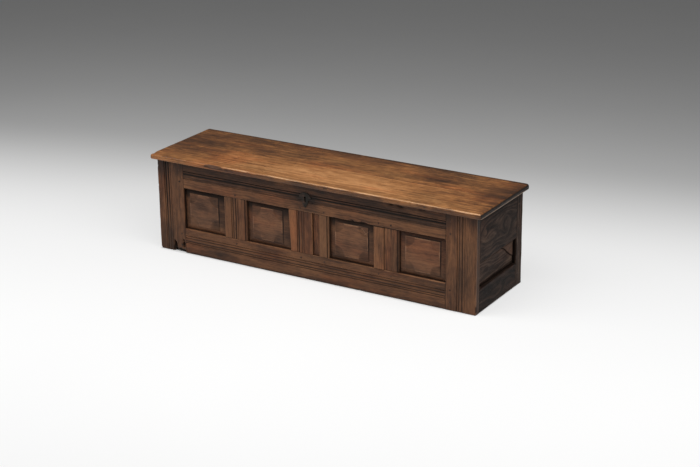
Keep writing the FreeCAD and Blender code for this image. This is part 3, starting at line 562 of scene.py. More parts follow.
def wood(
    name, deep, dark, mid, pale, worn, dry, ring_spacing=0.007, rings=0.10, streaks=1.4, blotches=1.0,
    mottles=0.30, swirl=0.022, sheen=0.42, gloss=0.22,
):
    """Old waxed timber: wandering streaks, rings, fibres and pores, rubbed arrises with painted highlights,
    and dirt and painted shade in hollows and under overhangs.
    """
    deep, dark, mid, pale, worn, dry = (tint(*colour) for colour in (deep, dark, mid, pale, worn, dry))
    f = Finish(name)
    grain = f.attribute("grain", "Vector")
    tone, grime_and_shade, rub_and_highlight = f.parts(f.attribute("age", "Vector"))
    patina = f.attribute("patina", "Fac")
    along, across, depth = f.parts(grain)
    drift = f.noise(grain, (3.2, 10.0, 10.0)) - 0.5
    bent_across = across + drift * swirl
    bent_depth = depth + drift * swirl
    place = f.node("ShaderNodeCombineXYZ", {}, {0: along, 1: bent_across, 2: bent_depth})
    figure = f.noise(place, (4.0, 52.0, 52.0), 5.0, 0.68)
    fibre = f.noise(place, (18.0, 380.0, 380.0), 3.0, 0.6)
    pore = f.noise(place, (34.0, 1050.0, 1050.0), 1.0).between(0.58, 0.70)
    blotch = f.noise(grain, (4.5, 11.0, 11.0), 4.0, 0.62)
    mottle = f.noise(grain, (22.0, 44.0, 44.0), 3.0, 0.60)
    hue = f.noise(grain, (3.0, 8.0, 8.0), 3.0)
    radius = (bent_across ** 2.0 + (bent_depth + 0.09) ** 2.0) ** 0.5
    ring = (radius * (2 * math.pi / ring_spacing) + figure * 5.0).sine() * 0.5 + 0.5

    level = (
        0.5 + (figure - 0.5) * streaks + (fibre - 0.5) * 0.45 + (ring - 0.5) * rings
        + (blotch - 0.5) * blotches + (mottle - 0.5) * mottles + tone
    )
    colour = f.node("ShaderNodeValToRGB", {"stops": (
        (0.08, deep), (0.34, dark), (0.56, mid), (0.90, pale),
    )}, {"Fac": level})
    colour = f.mix(hue.between(0.50, 0.66) * 0.7, colour, (1.08, 0.88, 0.80, 1.0), "MULTIPLY")
    colour = f.mix(hue.between(0.46, 0.32) * 0.8, colour, (0.82, 0.88, 0.92, 1.0), "MULTIPLY")
    colour = f.mix(pore * 0.55, colour, deep)
    # Rubbed wood takes in painted highlights, and the grime share below takes in painted shade
    rubbed = (rub_and_highlight * 1.25 + (fibre - 0.5) * 0.5).between(0.25, 0.95)
    colour = f.mix(rubbed * 0.7, colour, worn)
    raw = f.mix((figure * 0.6 + fibre * 0.4).between(0.3, 0.7), dark, dry)
    colour = f.mix((1.0 - patina) * 0.85, colour, raw)
    darkened = (grime_and_shade * 1.15 + (blotch - 0.5) * 0.5 * grime_and_shade).between(0.05, 0.95)
    colour = f.mix(darkened * 0.93, colour, tint(24, 17, 13))

    roughness = sheen + (fibre - 0.5) * 0.3 + (blotch - 0.5) * 0.2 + darkened * 0.25 - rubbed * 0.08
    roughness = roughness + (1.0 - patina) * 0.3
    return f.shade({
        "Base Color": colour, "Roughness": roughness, "Specular IOR Level": gloss,
        "Normal": f.bump(0.4, 0.0007, fibre * 0.5 + ring * 0.15 - pore * 0.8),
    })


def forged_iron(name):
    """Blackened wrought iron, hammered, rusty in its hollows."""
    f = Finish(name)
    place = f.place()
    hammer = f.noise(place, (90.0, 90.0, 90.0), 2.0)
    scale = f.noise(place, (420.0, 420.0, 420.0), 4.0, 0.65)
    rust = (f.noise(place, (38.0, 38.0, 38.0), 4.0, 0.6) + (scale - 0.5) * 0.4).between(0.52, 0.74)
    colour = f.mix(scale.between(0.25, 0.8), tint(24, 21, 18), tint(48, 43, 37))
    colour = f.mix(rust * 0.7, colour, tint(72, 44, 30))
    return f.shade({
        "Base Color": colour, "Roughness": 0.48 + rust * 0.3 + (scale - 0.5) * 0.25,
        "Metallic": 0.75 - rust * 0.6, "Normal": f.bump(0.5, 0.0008, hammer * 0.8 + scale * 0.3),
    })


# Painted pool of light on the floor round the chest: its slant, reach, share and the margin kept clear under
# the chest
white_slant = 0.26
white_reach = 1.9
white_share = 0.6
white_margin = 0.004


def pale_floor(name):
    """Painted studio floor with a painted pool of light, seen whiter round and in front of the chest, but not
    under it, without lighting it more.
    """
    f = Finish(name)
    place = f.place()
    cloud = f.noise(place, (0.7, 0.7, 0.7), 3.0)
    colour = f.mix(cloud, tint(232, 232, 232), tint(240, 240, 239))
    x, y = f.parts(place)[:2]
    near = (y - x * white_slant).between(white_reach, 0.0)
    under = 1.0
    for across, reach in ((x, half_width), (y, back_y)):
        under = under * (across ** 2.0).between((reach + white_margin) ** 2, reach ** 2)
    seen, mirrored, through = (
        f.node("ShaderNodeLightPath", {}, {}, "Is %s Ray" % kind)
        for kind in ("Camera", "Glossy", "Transmission")
    )
    # Painted light, whiter toward the chest and none under it
    white = near * (1.0 - under) * white_share * (seen + mirrored + through)
    return f.shade({"Base Color": colour, "Roughness": 0.75, "Specular IOR Level": 0.2}, white)


woods = {
    "lid_wood": dict(
        deep=(56, 34, 20), dark=(102, 64, 35), mid=(150, 99, 55), pale=(194, 138, 88), worn=(210, 164, 120),
        dry=(150, 118, 88), streaks=0.80, blotches=0.70, mottles=0.40, sheen=0.36, gloss=0.33,
    ),
    "front_wood": dict(
        deep=(38, 24, 16), dark=(74, 48, 32), mid=(108, 72, 48), pale=(142, 96, 63), worn=(160, 114, 80),
        dry=(140, 108, 82), streaks=0.7, blotches=0.75, sheen=0.44, gloss=0.18,
    ),
    "panel_wood": dict(
        deep=(42, 28, 20), dark=(76, 51, 37), mid=(106, 72, 51), pale=(136, 93, 64), worn=(150, 110, 82),
        dry=(140, 108, 82), ring_spacing=0.011, rings=0.06, streaks=0.60, blotches=0.95, mottles=0.45,
        sheen=0.44, gloss=0.18,
    ),
    "end_wood": dict(
        deep=(21, 15, 12), dark=(42, 32, 27), mid=(62, 48, 41), pale=(88, 71, 60), worn=(92, 73, 61),
        dry=(136, 108, 84), ring_spacing=0.015, rings=0.24, streaks=1.1, blotches=1.0, mottles=0.45,
        swirl=0.09, sheen=0.56, gloss=0.05,
    ),
    "back_wood": dict(
        deep=(50, 38, 30), dark=(88, 68, 53), mid=(124, 98, 76), pale=(152, 124, 98), worn=(158, 130, 104),
        dry=(142, 114, 88), streaks=0.8, blotches=0.6, sheen=0.62,
    ),
    "inner_wood": dict(
        deep=(70, 52, 38), dark=(118, 92, 68), mid=(154, 124, 94), pale=(184, 154, 120), worn=(188, 160, 128),
        dry=(150, 122, 94), streaks=0.9, blotches=0.7, sheen=0.68,
    ),
    "peg_wood": dict(
        deep=(25, 17, 13), dark=(48, 32, 25), mid=(72, 50, 38), pale=(98, 70, 53), worn=(104, 76, 58),
        dry=(90, 66, 50), sheen=0.5,
    ),
}
finishes = {name: wood(name, **look) for name, look in woods.items()}
finishes["iron"] = forged_iron("forged_iron")

# Front frame
upright = (Z, X, Y)
level = (X, Z, Y)
opening_height = opening_z[1] - opening_z[0]
rail_length = 2 * rail_half
stile_width = half_width - rail_half
foot_notch = 0.080
foot_lift = 0.010
foot_stations = np.linspace(0.004, 0.064, 21)
# Painted shade on the stiles under the lid, and on the stiles and bottom rail beside the floor
lid_shade_start = 0.350
lid_shade_run = 0.095
stile_floor_shade = 0.050
rail_floor_shade = 0.040


def rotten_foot(s, a, depth):
    """The left stile's foot has worn away beside a notch."""
    lift = foot_lift * smooth((a - foot_notch) / 0.012) * (0.6 + 0.6 * ripple(a / 0.014, 0, 4))
    lift = lift * (1 - 0.7 * smooth(depth / front_thickness))
    return np.maximum(s, lift), a, depth


def stile_tone_and_shade(outer, inner):
    """Painted shade under the lid and beside the floor, and darker toward the chest's corner."""
    def tone(s, a):
        under = smooth((s - lid_shade_start) / lid_shade_run)
        low = smooth((stile_floor_shade - s) / stile_floor_shade)
        return outer + (inner - outer) * a / stile_width - (0.20 * under + 0.10 * low)
    return tone


def right_corner(s, a):
    """The right stile's tone with its painted shade, greyer on its outer arris and edge."""
    return stile_tone_and_shade(0.02, 0.05)(s, a) - 0.18 * smooth((a - stile_width + 0.006) / 0.005)


def floor_shaded_rail(s, a):
    """Painted shade beside the floor."""
    return -0.12 * smooth((rail_floor_shade - a) / rail_floor_shade)


board(
    "front_left_stile", upright, "front_wood", [reeded(left_stile_band, stile_quirks, 3, 0.5)],
    stations=foot_stations, arris=(0.0028, 0.0010), walls=(0.0, 0.9), trim=rotten_foot, wear=0.5,
    tone=stile_tone_and_shade(-0.12, 0.02), gouges=(
        (0.018, 0.088, 0.034, 0.008, 0.018), (0.040, 0.139, 0.020, 0.006, 0.012),
        (0.004, 0.118, 0.014, 0.034, 0.008),
    ),
)
board(
    "front_right_stile", upright, "front_wood", [reeded(stile_width / 2, right_quirks, 8)],
    arris=(0.0010, 0.0030), walls=(0.9, 0.42), wear=0.45, tone=right_corner,
    gouges=((0.020, 0.1525, 0.016, 0.005, 0.008),),
)

front_x = {
    name: tuple(corner.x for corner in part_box(name))
    for name in ("left_muntin", "centre_left_muntin", "centre_right_muntin", "right_muntin")
}
front_x["centre_slat"] = (front_x["centre_left_muntin"][1], front_x["centre_right_muntin"][0])
front_x["right_muntin_board"] = (front_x["right_muntin"][1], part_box("right_muntin_board")[1].x)
front_width = {name: high - low for name, (low, high) in front_x.items()}

keyhole_heights = (0.380, 0.407)
key_bottom, key_top = (height - opening_z[1] for height in keyhole_heights)
key_eye = 0.0050
key_slot = 0.0030
key_depth = 0.030
key_along = lock_x + rail_half
key_columns = key_along + np.linspace(-0.007, 0.007, 15)
third_panel = front_x["centre_right_muntin"][1] + rail_half


def keyhole(s, a):
    """Keyhole through the top rail, behind the escutcheon."""
    across = s - key_along
    eye = np.sqrt(across ** 2 + (a - key_top + key_eye) ** 2) < key_eye
    stem = (np.abs(across) < key_slot) & (a > key_bottom) & (a < key_top - key_eye)
    hole = (eye | stem).astype(float)
    return key_depth * hole, hole, 0


keyhole.lines = np.linspace(key_bottom - 0.001, key_top + 0.001, 24)

# Beside the keyhole: place along and height, half length and half height, and how much darker
key_stains = (
    (0.0, 0.056, 0.075, 0.045, 0.22), (0.037, 0.060, 0.011, 0.014, 0.45),
    (-0.034, 0.061, 0.010, 0.009, 0.315),
)
band_shade_start = 0.040
band_shade_run = 0.014
lid_shadow_start = 0.068
lid_shadow_run = 0.028


def under_lid(s, a):
    """Painted shadow where the lid overhangs it, and darker where keys and hands have blackened it."""
    left_share = 1 - s / rail_length
    shade = 0.22 * smooth((a - band_shade_start) / band_shade_run)
    shadow = (0.13 * left_share - 0.02) * smooth((a - lid_shadow_start) / lid_shadow_run)
    tones = 0.04 - shade - shadow
    for along, height, half_along, half_height, darker in key_stains:
        tones = tones - darker * spot(s - key_along - along, a - height, half_along, half_height)
    return tones


plank(
    "front_top_rail", (-rail_half, front_y, opening_z[1]), level,
    (rail_length, body_top - opening_z[1], front_thickness), "front_wood",
    [reeded(top_band_rise, top_quirks, 5), keyhole], stations=key_columns, walls=(0.9, 0.0),
    arris=(0.0012, 0.0020), tone=under_lid, gouges=(
        (1.175, 0.112, 0.040, 0.003, 0.005), (1.30, 0.115, 0.020, 0.002, 0.003),
        (third_panel + 0.125, 0.001, 0.014, 0.004, 0.006), (third_panel + 0.180, 0.001, 0.018, 0.005, 0.007),
    ),
)


def pale_arris_and_floor_shadow(s, a):
    """Bottom rail's upper arris rubbed pale and given a painted highlight, most of all to the right, and its
    foot painted black as shadow against the floor.
    """
    rubbed = 0.40 + 0.60 * smooth((s / rail_length - 0.55) / 0.30)
    patchy = 0.5 + 0.6 * ripple(s / 0.045, 0, 12)
    return 0, np.exp(-a / 0.006), 0.85 * rubbed * patchy * np.exp(-(opening_z[0] - a) / 0.0034)


plank(
    "front_bottom_rail", (-rail_half, front_y, 0), level, (rail_length, opening_z[0], front_thickness),
    "front_wood", [reeded(bottom_band_height, bottom_quirks, 6), pale_arris_and_floor_shadow], walls=(0.0, 0.65),
    arris=(0.0030, 0.0014), wear=0.6, tone=floor_shaded_rail,
)

# Front uprights
left_band = (front_width["left_muntin"] - ovolo_width) / 2
sapwood_width = 0.050
sapwood_fade = 0.006
worn_reach = 0.0095
edge_grime = 0.004
joint_reach = 0.0065
joint_fade = 0.003
joint_stations = opening_height - joint_reach + joint_fade * np.array([0.0, 0.5, 1.0])


def pale_edge(s, a):
    """Lighter sapwood along the left edge."""
    return 0.20 * smooth((sapwood_width - a) / sapwood_fade) - 0.05


def worn_left(s, a):
    """Left arris worn away toward the foot, its worn face darkened with painted shade."""
    reach = np.clip(worn_reach * smooth(1 - s / opening_height) - a, 0, 1)
    return 1.2 * reach, 0.6 * smooth(reach / 0.002), 0


worn_left.lines = np.linspace(0.003, 0.012, 8)


def sunk_slat(s, a):
    """Set back all over, dirty along both edges."""
    return slat_sink, 0.9 * np.exp(-np.minimum(a, a.max() - a) / edge_grime), 0


def sunk_left(s, a):
    """Set back a little, dirty beside its neighbour."""
    return right_board_sink, 0.95 * np.exp(-a / edge_grime), 0


def dark_top(s, a):
    """Black joint under the top rail."""
    return 0, 0.95 * smooth((s - opening_height + joint_reach) / joint_fade), 0


def upright_piece(name, *mouldings, **details):
    """Upright of the front, between the rails."""
    plank(
        name, (front_x[name][0], front_y, opening_z[0]), upright,
        (opening_height, front_width[name], front_thickness), "front_wood", mouldings, walls=(0.9, 0.55),
        **details,
    )


upright_piece("left_muntin", reeded(left_band, soft_quirks, 7), ovolo(front_width["left_muntin"], 0.38))
upright_piece(
    "centre_left_muntin", reeded(front_width["centre_left_muntin"] / 2, faint_quirks, 9), worn_left,
    tone=pale_edge,
)
upright_piece("centre_slat", sunk_slat, dark_top, stations=joint_stations, tone=-0.06)
upright_piece("centre_right_muntin", ovolo(front_width["centre_right_muntin"]), tone=0.10)
upright_piece("right_muntin", dark_top, stations=joint_stations, tone=0.08)
upright_piece(
    "right_muntin_board", sunk_left, ovolo(front_width["right_muntin_board"], 0.5), dark_top,
    stations=joint_stations, knots=((0.13, 0.024, 0.004),),
)

# Front panels: the looks are right bevel, knot, rubbed field, painted shadow above and painted highlight on
# the upper crest
panel_lefts = [-rail_half]
panel_lefts += [front_x[name][1] for name in ("left_muntin", "centre_right_muntin", "right_muntin_board")]
panel_rights = [front_x[name][0] for name in ("left_muntin", "centre_left_muntin", "right_muntin")]
panel_rights.append(rail_half)
panel_looks = (
    (0.044, (0.16, 0.19, 0.010), 0.0, 0.38, 0.0), (0.042, (0.13, 0.15, 0.014), 0.08, 0.34, 0.10),
    (0.035, (0.18, 0.17, 0.012), 0.08, 0.30, 0.35), (0.033, (0.07, 0.19, 0.010), 0.10, 0.10, 0.50),
)
left_bevel_darkening = 0.17
scored_panel = 3
stroke_width = 0.0020
stroke_depth = 0.0008
corner_strokes = (
    (0.150, 0.186, 0.212, 0.190), (0.172, 0.178, 0.196, 0.150), (0.186, 0.150, 0.212, 0.170),
)
rail_marks = ((0.128, 0.007), (0.170, 0.018))
rail_mark_drop = 0.0105
rail_mark_half = 0.0045


def scored(s, a):
    """Old knife strokes in a panel's upper right corner, and black marks under the rail."""
    pale = 0
    for start_s, start_a, end_s, end_a in corner_strokes:
        run_s = end_s - start_s
        run_a = end_a - start_a
        share = np.clip(((s - start_s) * run_s + (a - start_a) * run_a) / (run_s ** 2 + run_a ** 2), 0, 1)
        away = np.hypot(s - start_s - share * run_s, a - start_a - share * run_a)
        pale = np.maximum(pale, np.exp(-(away / stroke_width) ** 2))
    black = 0
    for mark_s, half in rail_marks:
        black = np.maximum(black, spot(s - mark_s, a.max() - a - rail_mark_drop, half, rail_mark_half))
    return stroke_depth * pale, black, 0.9 * pale


def warm_field(width, height, amount):
    """Field that hands have rubbed paler in the middle."""
    def tone(s, a):
        return amount * spot(s - width / 2, a - height / 2, 0.42 * width, 0.42 * height)
    return tone


for number, (left_x, right_x, look) in enumerate(zip(panel_lefts, panel_rights, panel_looks), 1):
    right_bevel, knot, rubbed, soot_and_shade, top_crest_highlight = look
    width = right_x - left_x + 2 * panel_lap
    height = opening_height + 2 * panel_lap
    cuts = [fielded(
        width, height, panel_border, field_sink, field_shoulder, (field_left_bevel, right_bevel),
        field_rail_bevel, scoop_radius, number, soot_and_shade, left_bevel_darkening, top_crest_highlight,
    )]
    if number == scored_panel:
        cuts.append(scored)
    plank(
        "front_panel_%d" % number, (left_x - panel_lap, front_y, opening_z[0] - panel_lap), level,
        (width, height, panel_back), "panel_wood", cuts, step=panel_step, across_step=panel_step,
        knots=[knot], tone=warm_field(width, height, rubbed), **crisp_edges,
    )

# Ends
end_length = rear_stile_y - front_inner_y
end_rail_step = 0.004
crack_place = (0.330, 0.058)
crack_facing = (0.56, 0.83)
crack_waver = 0.006
crack_step = 0.0025
crack_half = 0.003
eaves_shade = 0.075


def crack_line(s, a):
    """Distance beyond the crack that runs from the end panel's top edge to its back edge."""
    straight = (s - crack_place[0]) * crack_facing[0] + (a - crack_place[1]) * crack_facing[1]
    return straight + crack_waver * (ripple(s / 0.03, a / 0.03, 2) - 0.5)


def pale_wedge(s, a):
    """Paler wood beyond the crack and a little before it."""
    return 0.05 + 0.28 * smooth(crack_line(s, a) / 0.004) + 0.16 * spot(s - 0.350, a - 0.035, 0.050, 0.035)


def end_field(width, height):
    """Plain fielded panel of an end."""
    return fielded(
        width, height, end_panel_border, end_field_sink, 0.0, (end_field_bevel, end_field_bevel),
        end_field_bevel, 0.0, 11,
    )


def cracked(width, height):
    """Panel of the right end, with one side of an old crack standing proud."""
    field = end_field(width, height)

    def cut(s, a):
        depth, dirt, polish_and_highlight = field(s, a)
        beyond = crack_line(s, a)
        proud = smooth(beyond / crack_step + 0.5)
        dirt = dirt * (1 - 0.7 * smooth((a - height + 0.030) / 0.015))
        return depth + crack_step * (1 - proud), np.maximum(dirt, streak(beyond, crack_half)), polish_and_highlight
    return cut


def under_eaves(s, a):
    """Painted shadow where the lid overhangs an end."""
    return -0.03 - 0.24 * smooth((a - body_top + end_opening_z[1] + eaves_shade) / eaves_shade)


for hand, side, field, tone, knots in (
    ("left", -1, end_field, 0.0, ((0.090, 0.070, 0.011), (0.250, 0.140, 0.014))),
    ("right", 1, cracked, pale_wedge, ((0.050, 0.125, 0.018), (0.255, 0.105, 0.036))),
):
    face_x = side * half_width
    end_level = (Y, Z, -side * X)
    board(
        "rear_%s_stile" % hand, (Z, Y, -side * X), "end_wood", arris=(0.0014, 0.0030), walls=(0.95, 0.0),
        wear=0.4,
    )
    plank(
        hand + "_end_top_rail", (face_x, front_inner_y, end_opening_z[1]), end_level,
        (end_length, body_top - end_opening_z[1], end_thickness), "end_wood", step=end_rail_step,
        across_step=end_rail_step, knots=knots, walls=(0.95, 0.0), wear=0.4, tone=under_eaves,
    )
    plank(
        hand + "_end_bottom_rail", (face_x, front_inner_y, 0), end_level,
        (end_length, end_opening_z[0], end_thickness), "end_wood", walls=(0.0, 0.6), arris=(0.0020, 0.0016),
        tone=-0.11, wear=0.3,
    )
    width = end_length + 2 * panel_lap
    height = end_opening_z[1] - end_opening_z[0] + 2 * panel_lap
    plank(
        hand + "_end_panel", (face_x, front_inner_y - panel_lap, end_opening_z[0] - panel_lap), end_level,
        (width, height, end_panel_back), "end_wood", [field(width, height)], step=end_panel_step,
        across_step=end_panel_step, tone=tone, **crisp_edges,
    )

# Back
back_level = (X, Z, -Y)
back_upright = (Z, X, -Y)
back_length = 2 * end_inner_x
back_height = back_opening_z[1] - back_opening_z[0]
back_rail_step = 0.014
hinge_notch = 0.0027
hinge_notch_half = 0.021
notch_wall = 0.0002
hinge_places = [
    sum(corner.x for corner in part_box(hand + "_hinge_strap")) / 2 + end_inner_x for hand in hands
]
notch_stations = [
    place + edge + beside for place in hinge_places for edge in (-hinge_notch_half, hinge_notch_half)
    for beside in (-notch_wall, notch_wall)
]


def let_in(s, a, depth):
    """Top edge cut down where the hinge straps pass."""
    for place in hinge_places:
        notched = np.abs(s - place) < hinge_notch_half
        a = np.where(notched, np.minimum(a, body_top - back_opening_z[1] - hinge_notch), a)
    return s, a, depth


def flat_panel(width, height):
    """Plain board in its grooves, dirty along the edges."""
    def cut(s, a):
        edge = np.clip(np.minimum(np.minimum(s, width - s), np.minimum(a, height - a)) - panel_lap, 0, 1)
        return back_panel_sink, np.exp(-edge / 0.008), 0
    return cut


plank(
    "back_top_rail", (-end_inner_x, back_y, back_opening_z[1]), back_level,
    (back_length, body_top - back_opening_z[1], back_thickness), "back_wood", walls=(0.8, 0.0),
    step=back_rail_step, stations=notch_stations, trim=let_in,
)
plank(
    "back_bottom_rail", (-end_inner_x, back_y, 0), back_level,
    (back_length, back_opening_z[0], back_thickness), "back_wood", walls=(0.0, 0.8), step=back_rail_step,
    arris=(0.0025, 0.0014),
)
back_x = [-end_inner_x]
for hand in hands:
    name = "back_%s_muntin" % hand
    low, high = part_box(name)
    back_x += [low.x, high.x]
    plank(
        name, (low.x, back_y, back_opening_z[0]), back_upright, (back_height, high.x - low.x, back_thickness),
        "back_wood", walls=(0.8, 0.8),
    )
back_x.append(end_inner_x)
for number, (left_x, right_x) in enumerate(zip(back_x[::2], back_x[1::2])):
    width = right_x - left_x + 2 * panel_lap
    height = back_height + 2 * panel_lap
    plank(
        "back_panel_%d" % (number + 1), (left_x - panel_lap, back_y, back_opening_z[0] - panel_lap),
        back_level, (width, height, back_panel_back), "back_wood", [flat_panel(width, height)], step=0.012,
        across_step=0.008, knots=((0.12 + 0.13 * number, 0.08 + 0.05 * number, 0.012),), **crisp_edges,
    )

# Floor
floor_boards = ["floor_board_%d" % (number + 1) for number in range(6)]
ledgers = ("front_ledger", "back_ledger")
for number, name in enumerate(floor_boards):
    board(
        name, (Y, X, -Z), "inner_wood", step=0.02, across_step=0.02, end_arris=0.0012,
        knots=((0.08 + 0.05 * number, 0.20 - 0.025 * number, 0.010),),
    )
for name, inward in zip(ledgers, (-Y, Y)):
    board(name, (X, Z, inward), "inner_wood", step=0.03, across_step=0.01)

# Lid: stains and chips have their place, half sizes and strength
lid_front_corner = 0.011
lid_back_corner = 0.016
lid_upper_rounding = 0.009
lid_lower_rounding = 0.006
lid_least = 0.004
lid_columns = 230
lid_rows = 32
lip_height = 0.0035
batten_chamfer = 0.014
seam_lines = np.array([0.0, 0.0004, 0.0010, 0.0020, 0.0036])
lid_edge_offsets = np.array([
    0.0, 0.0002, 0.0006, 0.0013, 0.0022, 0.0034, 0.0050, 0.0070, 0.0092, 0.013, 0.019, 0.024, 0.032,
])
lid_rim = lid_edge_offsets[-1]
lid_stains = (
    (0.50, 0.080, 0.13, 0.04, -0.32), (-0.45, 0.12, 0.40, 0.08, -0.08), (0.82, 0.02, 0.08, 0.16, -0.22),
    (0.05, 0.20, 0.60, 0.04, -0.10), (-0.60, -0.11, 0.05, 0.015, -0.16), (0.05, -0.13, 0.34, 0.09, 0.27),
    (0.45, -0.12, 0.22, 0.07, 0.03), (-0.30, -0.10, 0.20, 0.08, 0.03), (-0.80, -0.02, 0.16, 0.24, -0.13),
    (0.64, -0.06, 0.08, 0.010, -0.20), (0.0, 0.237, 1.2, 0.014, -0.28), (0.30, 0.08, 0.20, 0.09, 0.12),
    (0.74, 0.14, 0.10, 0.06, 0.08), (0.76, -0.12, 0.12, 0.10, -0.06), (0.86, 0.17, 0.07, 0.08, -0.14),
)
lid_chips = (
    (-0.515, lid_front_edge, 0.048, 0.009, 0.008), (-0.44, lid_front_edge, 0.02, 0.004, 0.003),
    (0.10, lid_front_edge, 0.012, 0.004, 0.003), (0.61, lid_front_edge, 0.02, 0.003, 0.002),
    (lid_half, -0.08, 0.005, 0.03, 0.004), (-lid_half, -0.22, 0.012, 0.02, 0.004),
)


def lid_inset(x, y):
    """Distance inside the lid's outline, which has rounded corners."""
    u = lid_half - np.abs(x)
    v = np.minimum(y - lid_front_edge, lid_back_edge - y)
    radius = np.where(y < lid_seam, lid_front_corner, lid_back_corner)
    in_corner = (u < radius) & (v < radius)
    corner = radius - np.sqrt((radius - u) ** 2 + (radius - v) ** 2)
    return np.clip(np.where(in_corner, corner, np.minimum(u, v)), 0, 1)


def lid_board(node, edge, corner_radius, tone_shift):
    """Half of the lid, from the seam out to a bull-nosed edge, with rounded corners."""
    seed = seed_of(node)
    x_lines = np.unique(np.concatenate([
        -lid_half + lid_edge_offsets, np.linspace(-lid_half + lid_rim, lid_half - lid_rim, lid_columns),
        lid_half - lid_edge_offsets,
    ]))
    widths = abs(edge - lid_seam) - rounding(np.clip(lid_half - np.abs(x_lines), 0, 1), corner_radius)
    inner = np.linspace(0.006, 1, lid_rows)[:-1]
    seam_reach = seam_lines[-1]
    q = np.array([np.concatenate([
        seam_lines, seam_reach + (width - seam_reach - lid_rim) * inner, width - lid_edge_offsets[::-1],
    ]) for width in widths])
    x = x_lines[:, None] + 0 * q
    y = lid_seam + math.copysign(1, edge - lid_seam) * q
    inset = lid_inset(x, y)
    chipped = 0 * q
    for chip_x, chip_y, half_x, half_y, amount in lid_chips:
        mask = spot(x - chip_x, y - chip_y, half_x, half_y)
        chipped += amount * mask * (0.5 + 0.9 * ripple(x / 0.007, y / 0.004, seed + 2))
    nibble = 0.0012 * ripple(x / 0.02, y / 0.02, seed + 1) + 0.0016 * ripple(x / 0.09, y / 0.09, seed + 6)
    drop = rounding(np.clip(inset - 0.6 * nibble, 0, 1), lid_upper_rounding) + chipped
    hollow = 0.0014 * (ripple(x / 0.30, y / 0.11, seed) - 0.2) * smooth(inset / 0.03)
    dents = 0.0006 * smooth((ripple(x / 0.022, y / 0.012, seed + 8) - 0.82) / 0.18)
    seam_drop = rounding(q, 0.0011 * (0.6 + 0.8 * ripple(x / 0.05, 0, seed + 4)))
    top = lid_high.z - np.maximum(drop + hollow + dents + seam_drop, 0)
    top = np.maximum(top, lid_low.z + lid_lower_rounding + lid_least)
    bottom = lid_low.z + rounding(inset, lid_lower_rounding)

    tones = tone_shift + 0 * q
    for stain_x, stain_y, half_x, half_y, amount in lid_stains:
        ragged = 0.25 * half_x * (ripple(x / 0.08, y / 0.02, seed + 7) - 0.5)
        tones += amount * np.exp(-(((x - stain_x + ragged) / half_x) ** 2 + ((y - stain_y) / half_y) ** 2))
    from_side = np.minimum(y - lid_front_edge, lid_back_edge - y)
    at_end = smooth((from_side - lid_half + np.abs(x)) / 0.008 + 0.5)
    # Rubbed upper arris with a painted highlight along the long edges, fainter toward the left end
    rub_and_highlight = np.exp(-((inset - 0.0050) / 0.0030) ** 2) * (1 - at_end) * (1 - smooth(chipped / 0.002))
    rub_and_highlight = rub_and_highlight * (0.35 + 0.7 * ripple(x / 0.06, y / 0.06, seed + 3)) * (1 - 0.7 * smooth((-0.42 - x) / 0.1))
    # Painted shade on the lid's edge faces, fading out toward the left end
    edge_face = smooth((0.0035 - inset) / 0.003)
    tones = tones - 0.26 * edge_face * smooth((x + 0.85) / 0.50)
    # Painted shade on the end faces, heaviest and near black at the right end, and darker just inside the
    # right end
    end_face = at_end * smooth((0.0045 - inset) / 0.003)
    tones = tones - np.where(x > 0, 0.40, 0.20) * end_face - 0.12 * smooth((x - lid_half + 0.055) / 0.045)
    soot_and_shade = 0.95 * (x > 0) * end_face
    grime_and_shade = np.maximum(0.75 * np.exp(-q / 0.0012) + 0.6 * smooth(chipped / 0.003), soot_and_shade)
    # Painted reflection of the floor along the lower rounding, strongest at the ends away from the back
    lip = np.exp(-((inset - 0.0006) / 0.0018) ** 2) * (0.22 + 0.36 * at_end * (1 - smooth((y - 0.18) / 0.06)))

    # Over the top, down the rim and back along the underside
    rim = slice(-1, None)
    rim_z = np.minimum(bottom + lip_height, top)
    rings = np.concatenate([
        np.stack([x, y, top], -1), np.stack([x, y, rim_z], -1)[:, rim], np.stack([x, y, bottom], -1)[:, ::-1],
    ], axis=1)
    grimed = np.stack([tones, np.clip(grime_and_shade, 0, 1), rub_and_highlight], -1)
    lipped = np.stack([tones, soot_and_shade * (1 - lip), lip], -1)
    age = np.concatenate([grimed, grimed[:, rim], lipped[:, ::-1]], axis=1)
    waxed = np.ones_like(q)
    patina = np.concatenate([waxed, waxed[:, rim], 0.3 + 0.7 * (inset[:, ::-1] < 0.02)], axis=1)
    loft(node, rings, rings + offset_of(seed), age, patina, "lid_wood", "lid")


def chamfered(length):
    """Ends of a batten cut back so that it clears the frame."""
    def cut(s, a):
        return np.clip(batten_chamfer - np.minimum(s, length - s), 0, 1), 0, 0
    return cut


lid_board("lid_front_board", lid_front_edge, lid_front_corner, 0.02)
lid_board("lid_back_board", lid_back_edge, lid_back_corner, -0.06)
for hand in hands:
    name = "lid_%s_batten" % hand
    low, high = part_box(name)
    length = high.y - low.y
    board(
        name, (Y, X, Z), "inner_wood", [chamfered(length)], body="lid", step=0.012,
        stations=(batten_chamfer, length - batten_chamfer), arris=(0.002, 0.002),
    )


# Pegs and nails: their places are read from the chest's own solids
def merged(node):
    """Copy of a node's mesh, with its loose triangles joined."""
    shape = bmesh.new()
    shape.from_mesh(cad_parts[node].data)
    bmesh.ops.remove_doubles(shape, verts=shape.verts, dist=1e-6)
    return shape


def solids_of(node):
    """Lowest and highest corner of each separate solid of a node."""
    shape = merged(node)
    seen = set()
    boxes = []
    for start in shape.verts:
        if start in seen:
            continue
        seen.add(start)
        island = [start]
        for vert in island:
            for edge in vert.link_edges:
                other = edge.other_vert(vert)
                if other not in seen:
                    seen.add(other)
                    island.append(other)
        places = np.array([vert.co for vert in island])
        boxes.append((places.min(0), places.max(0)))
    shape.free()
    return boxes


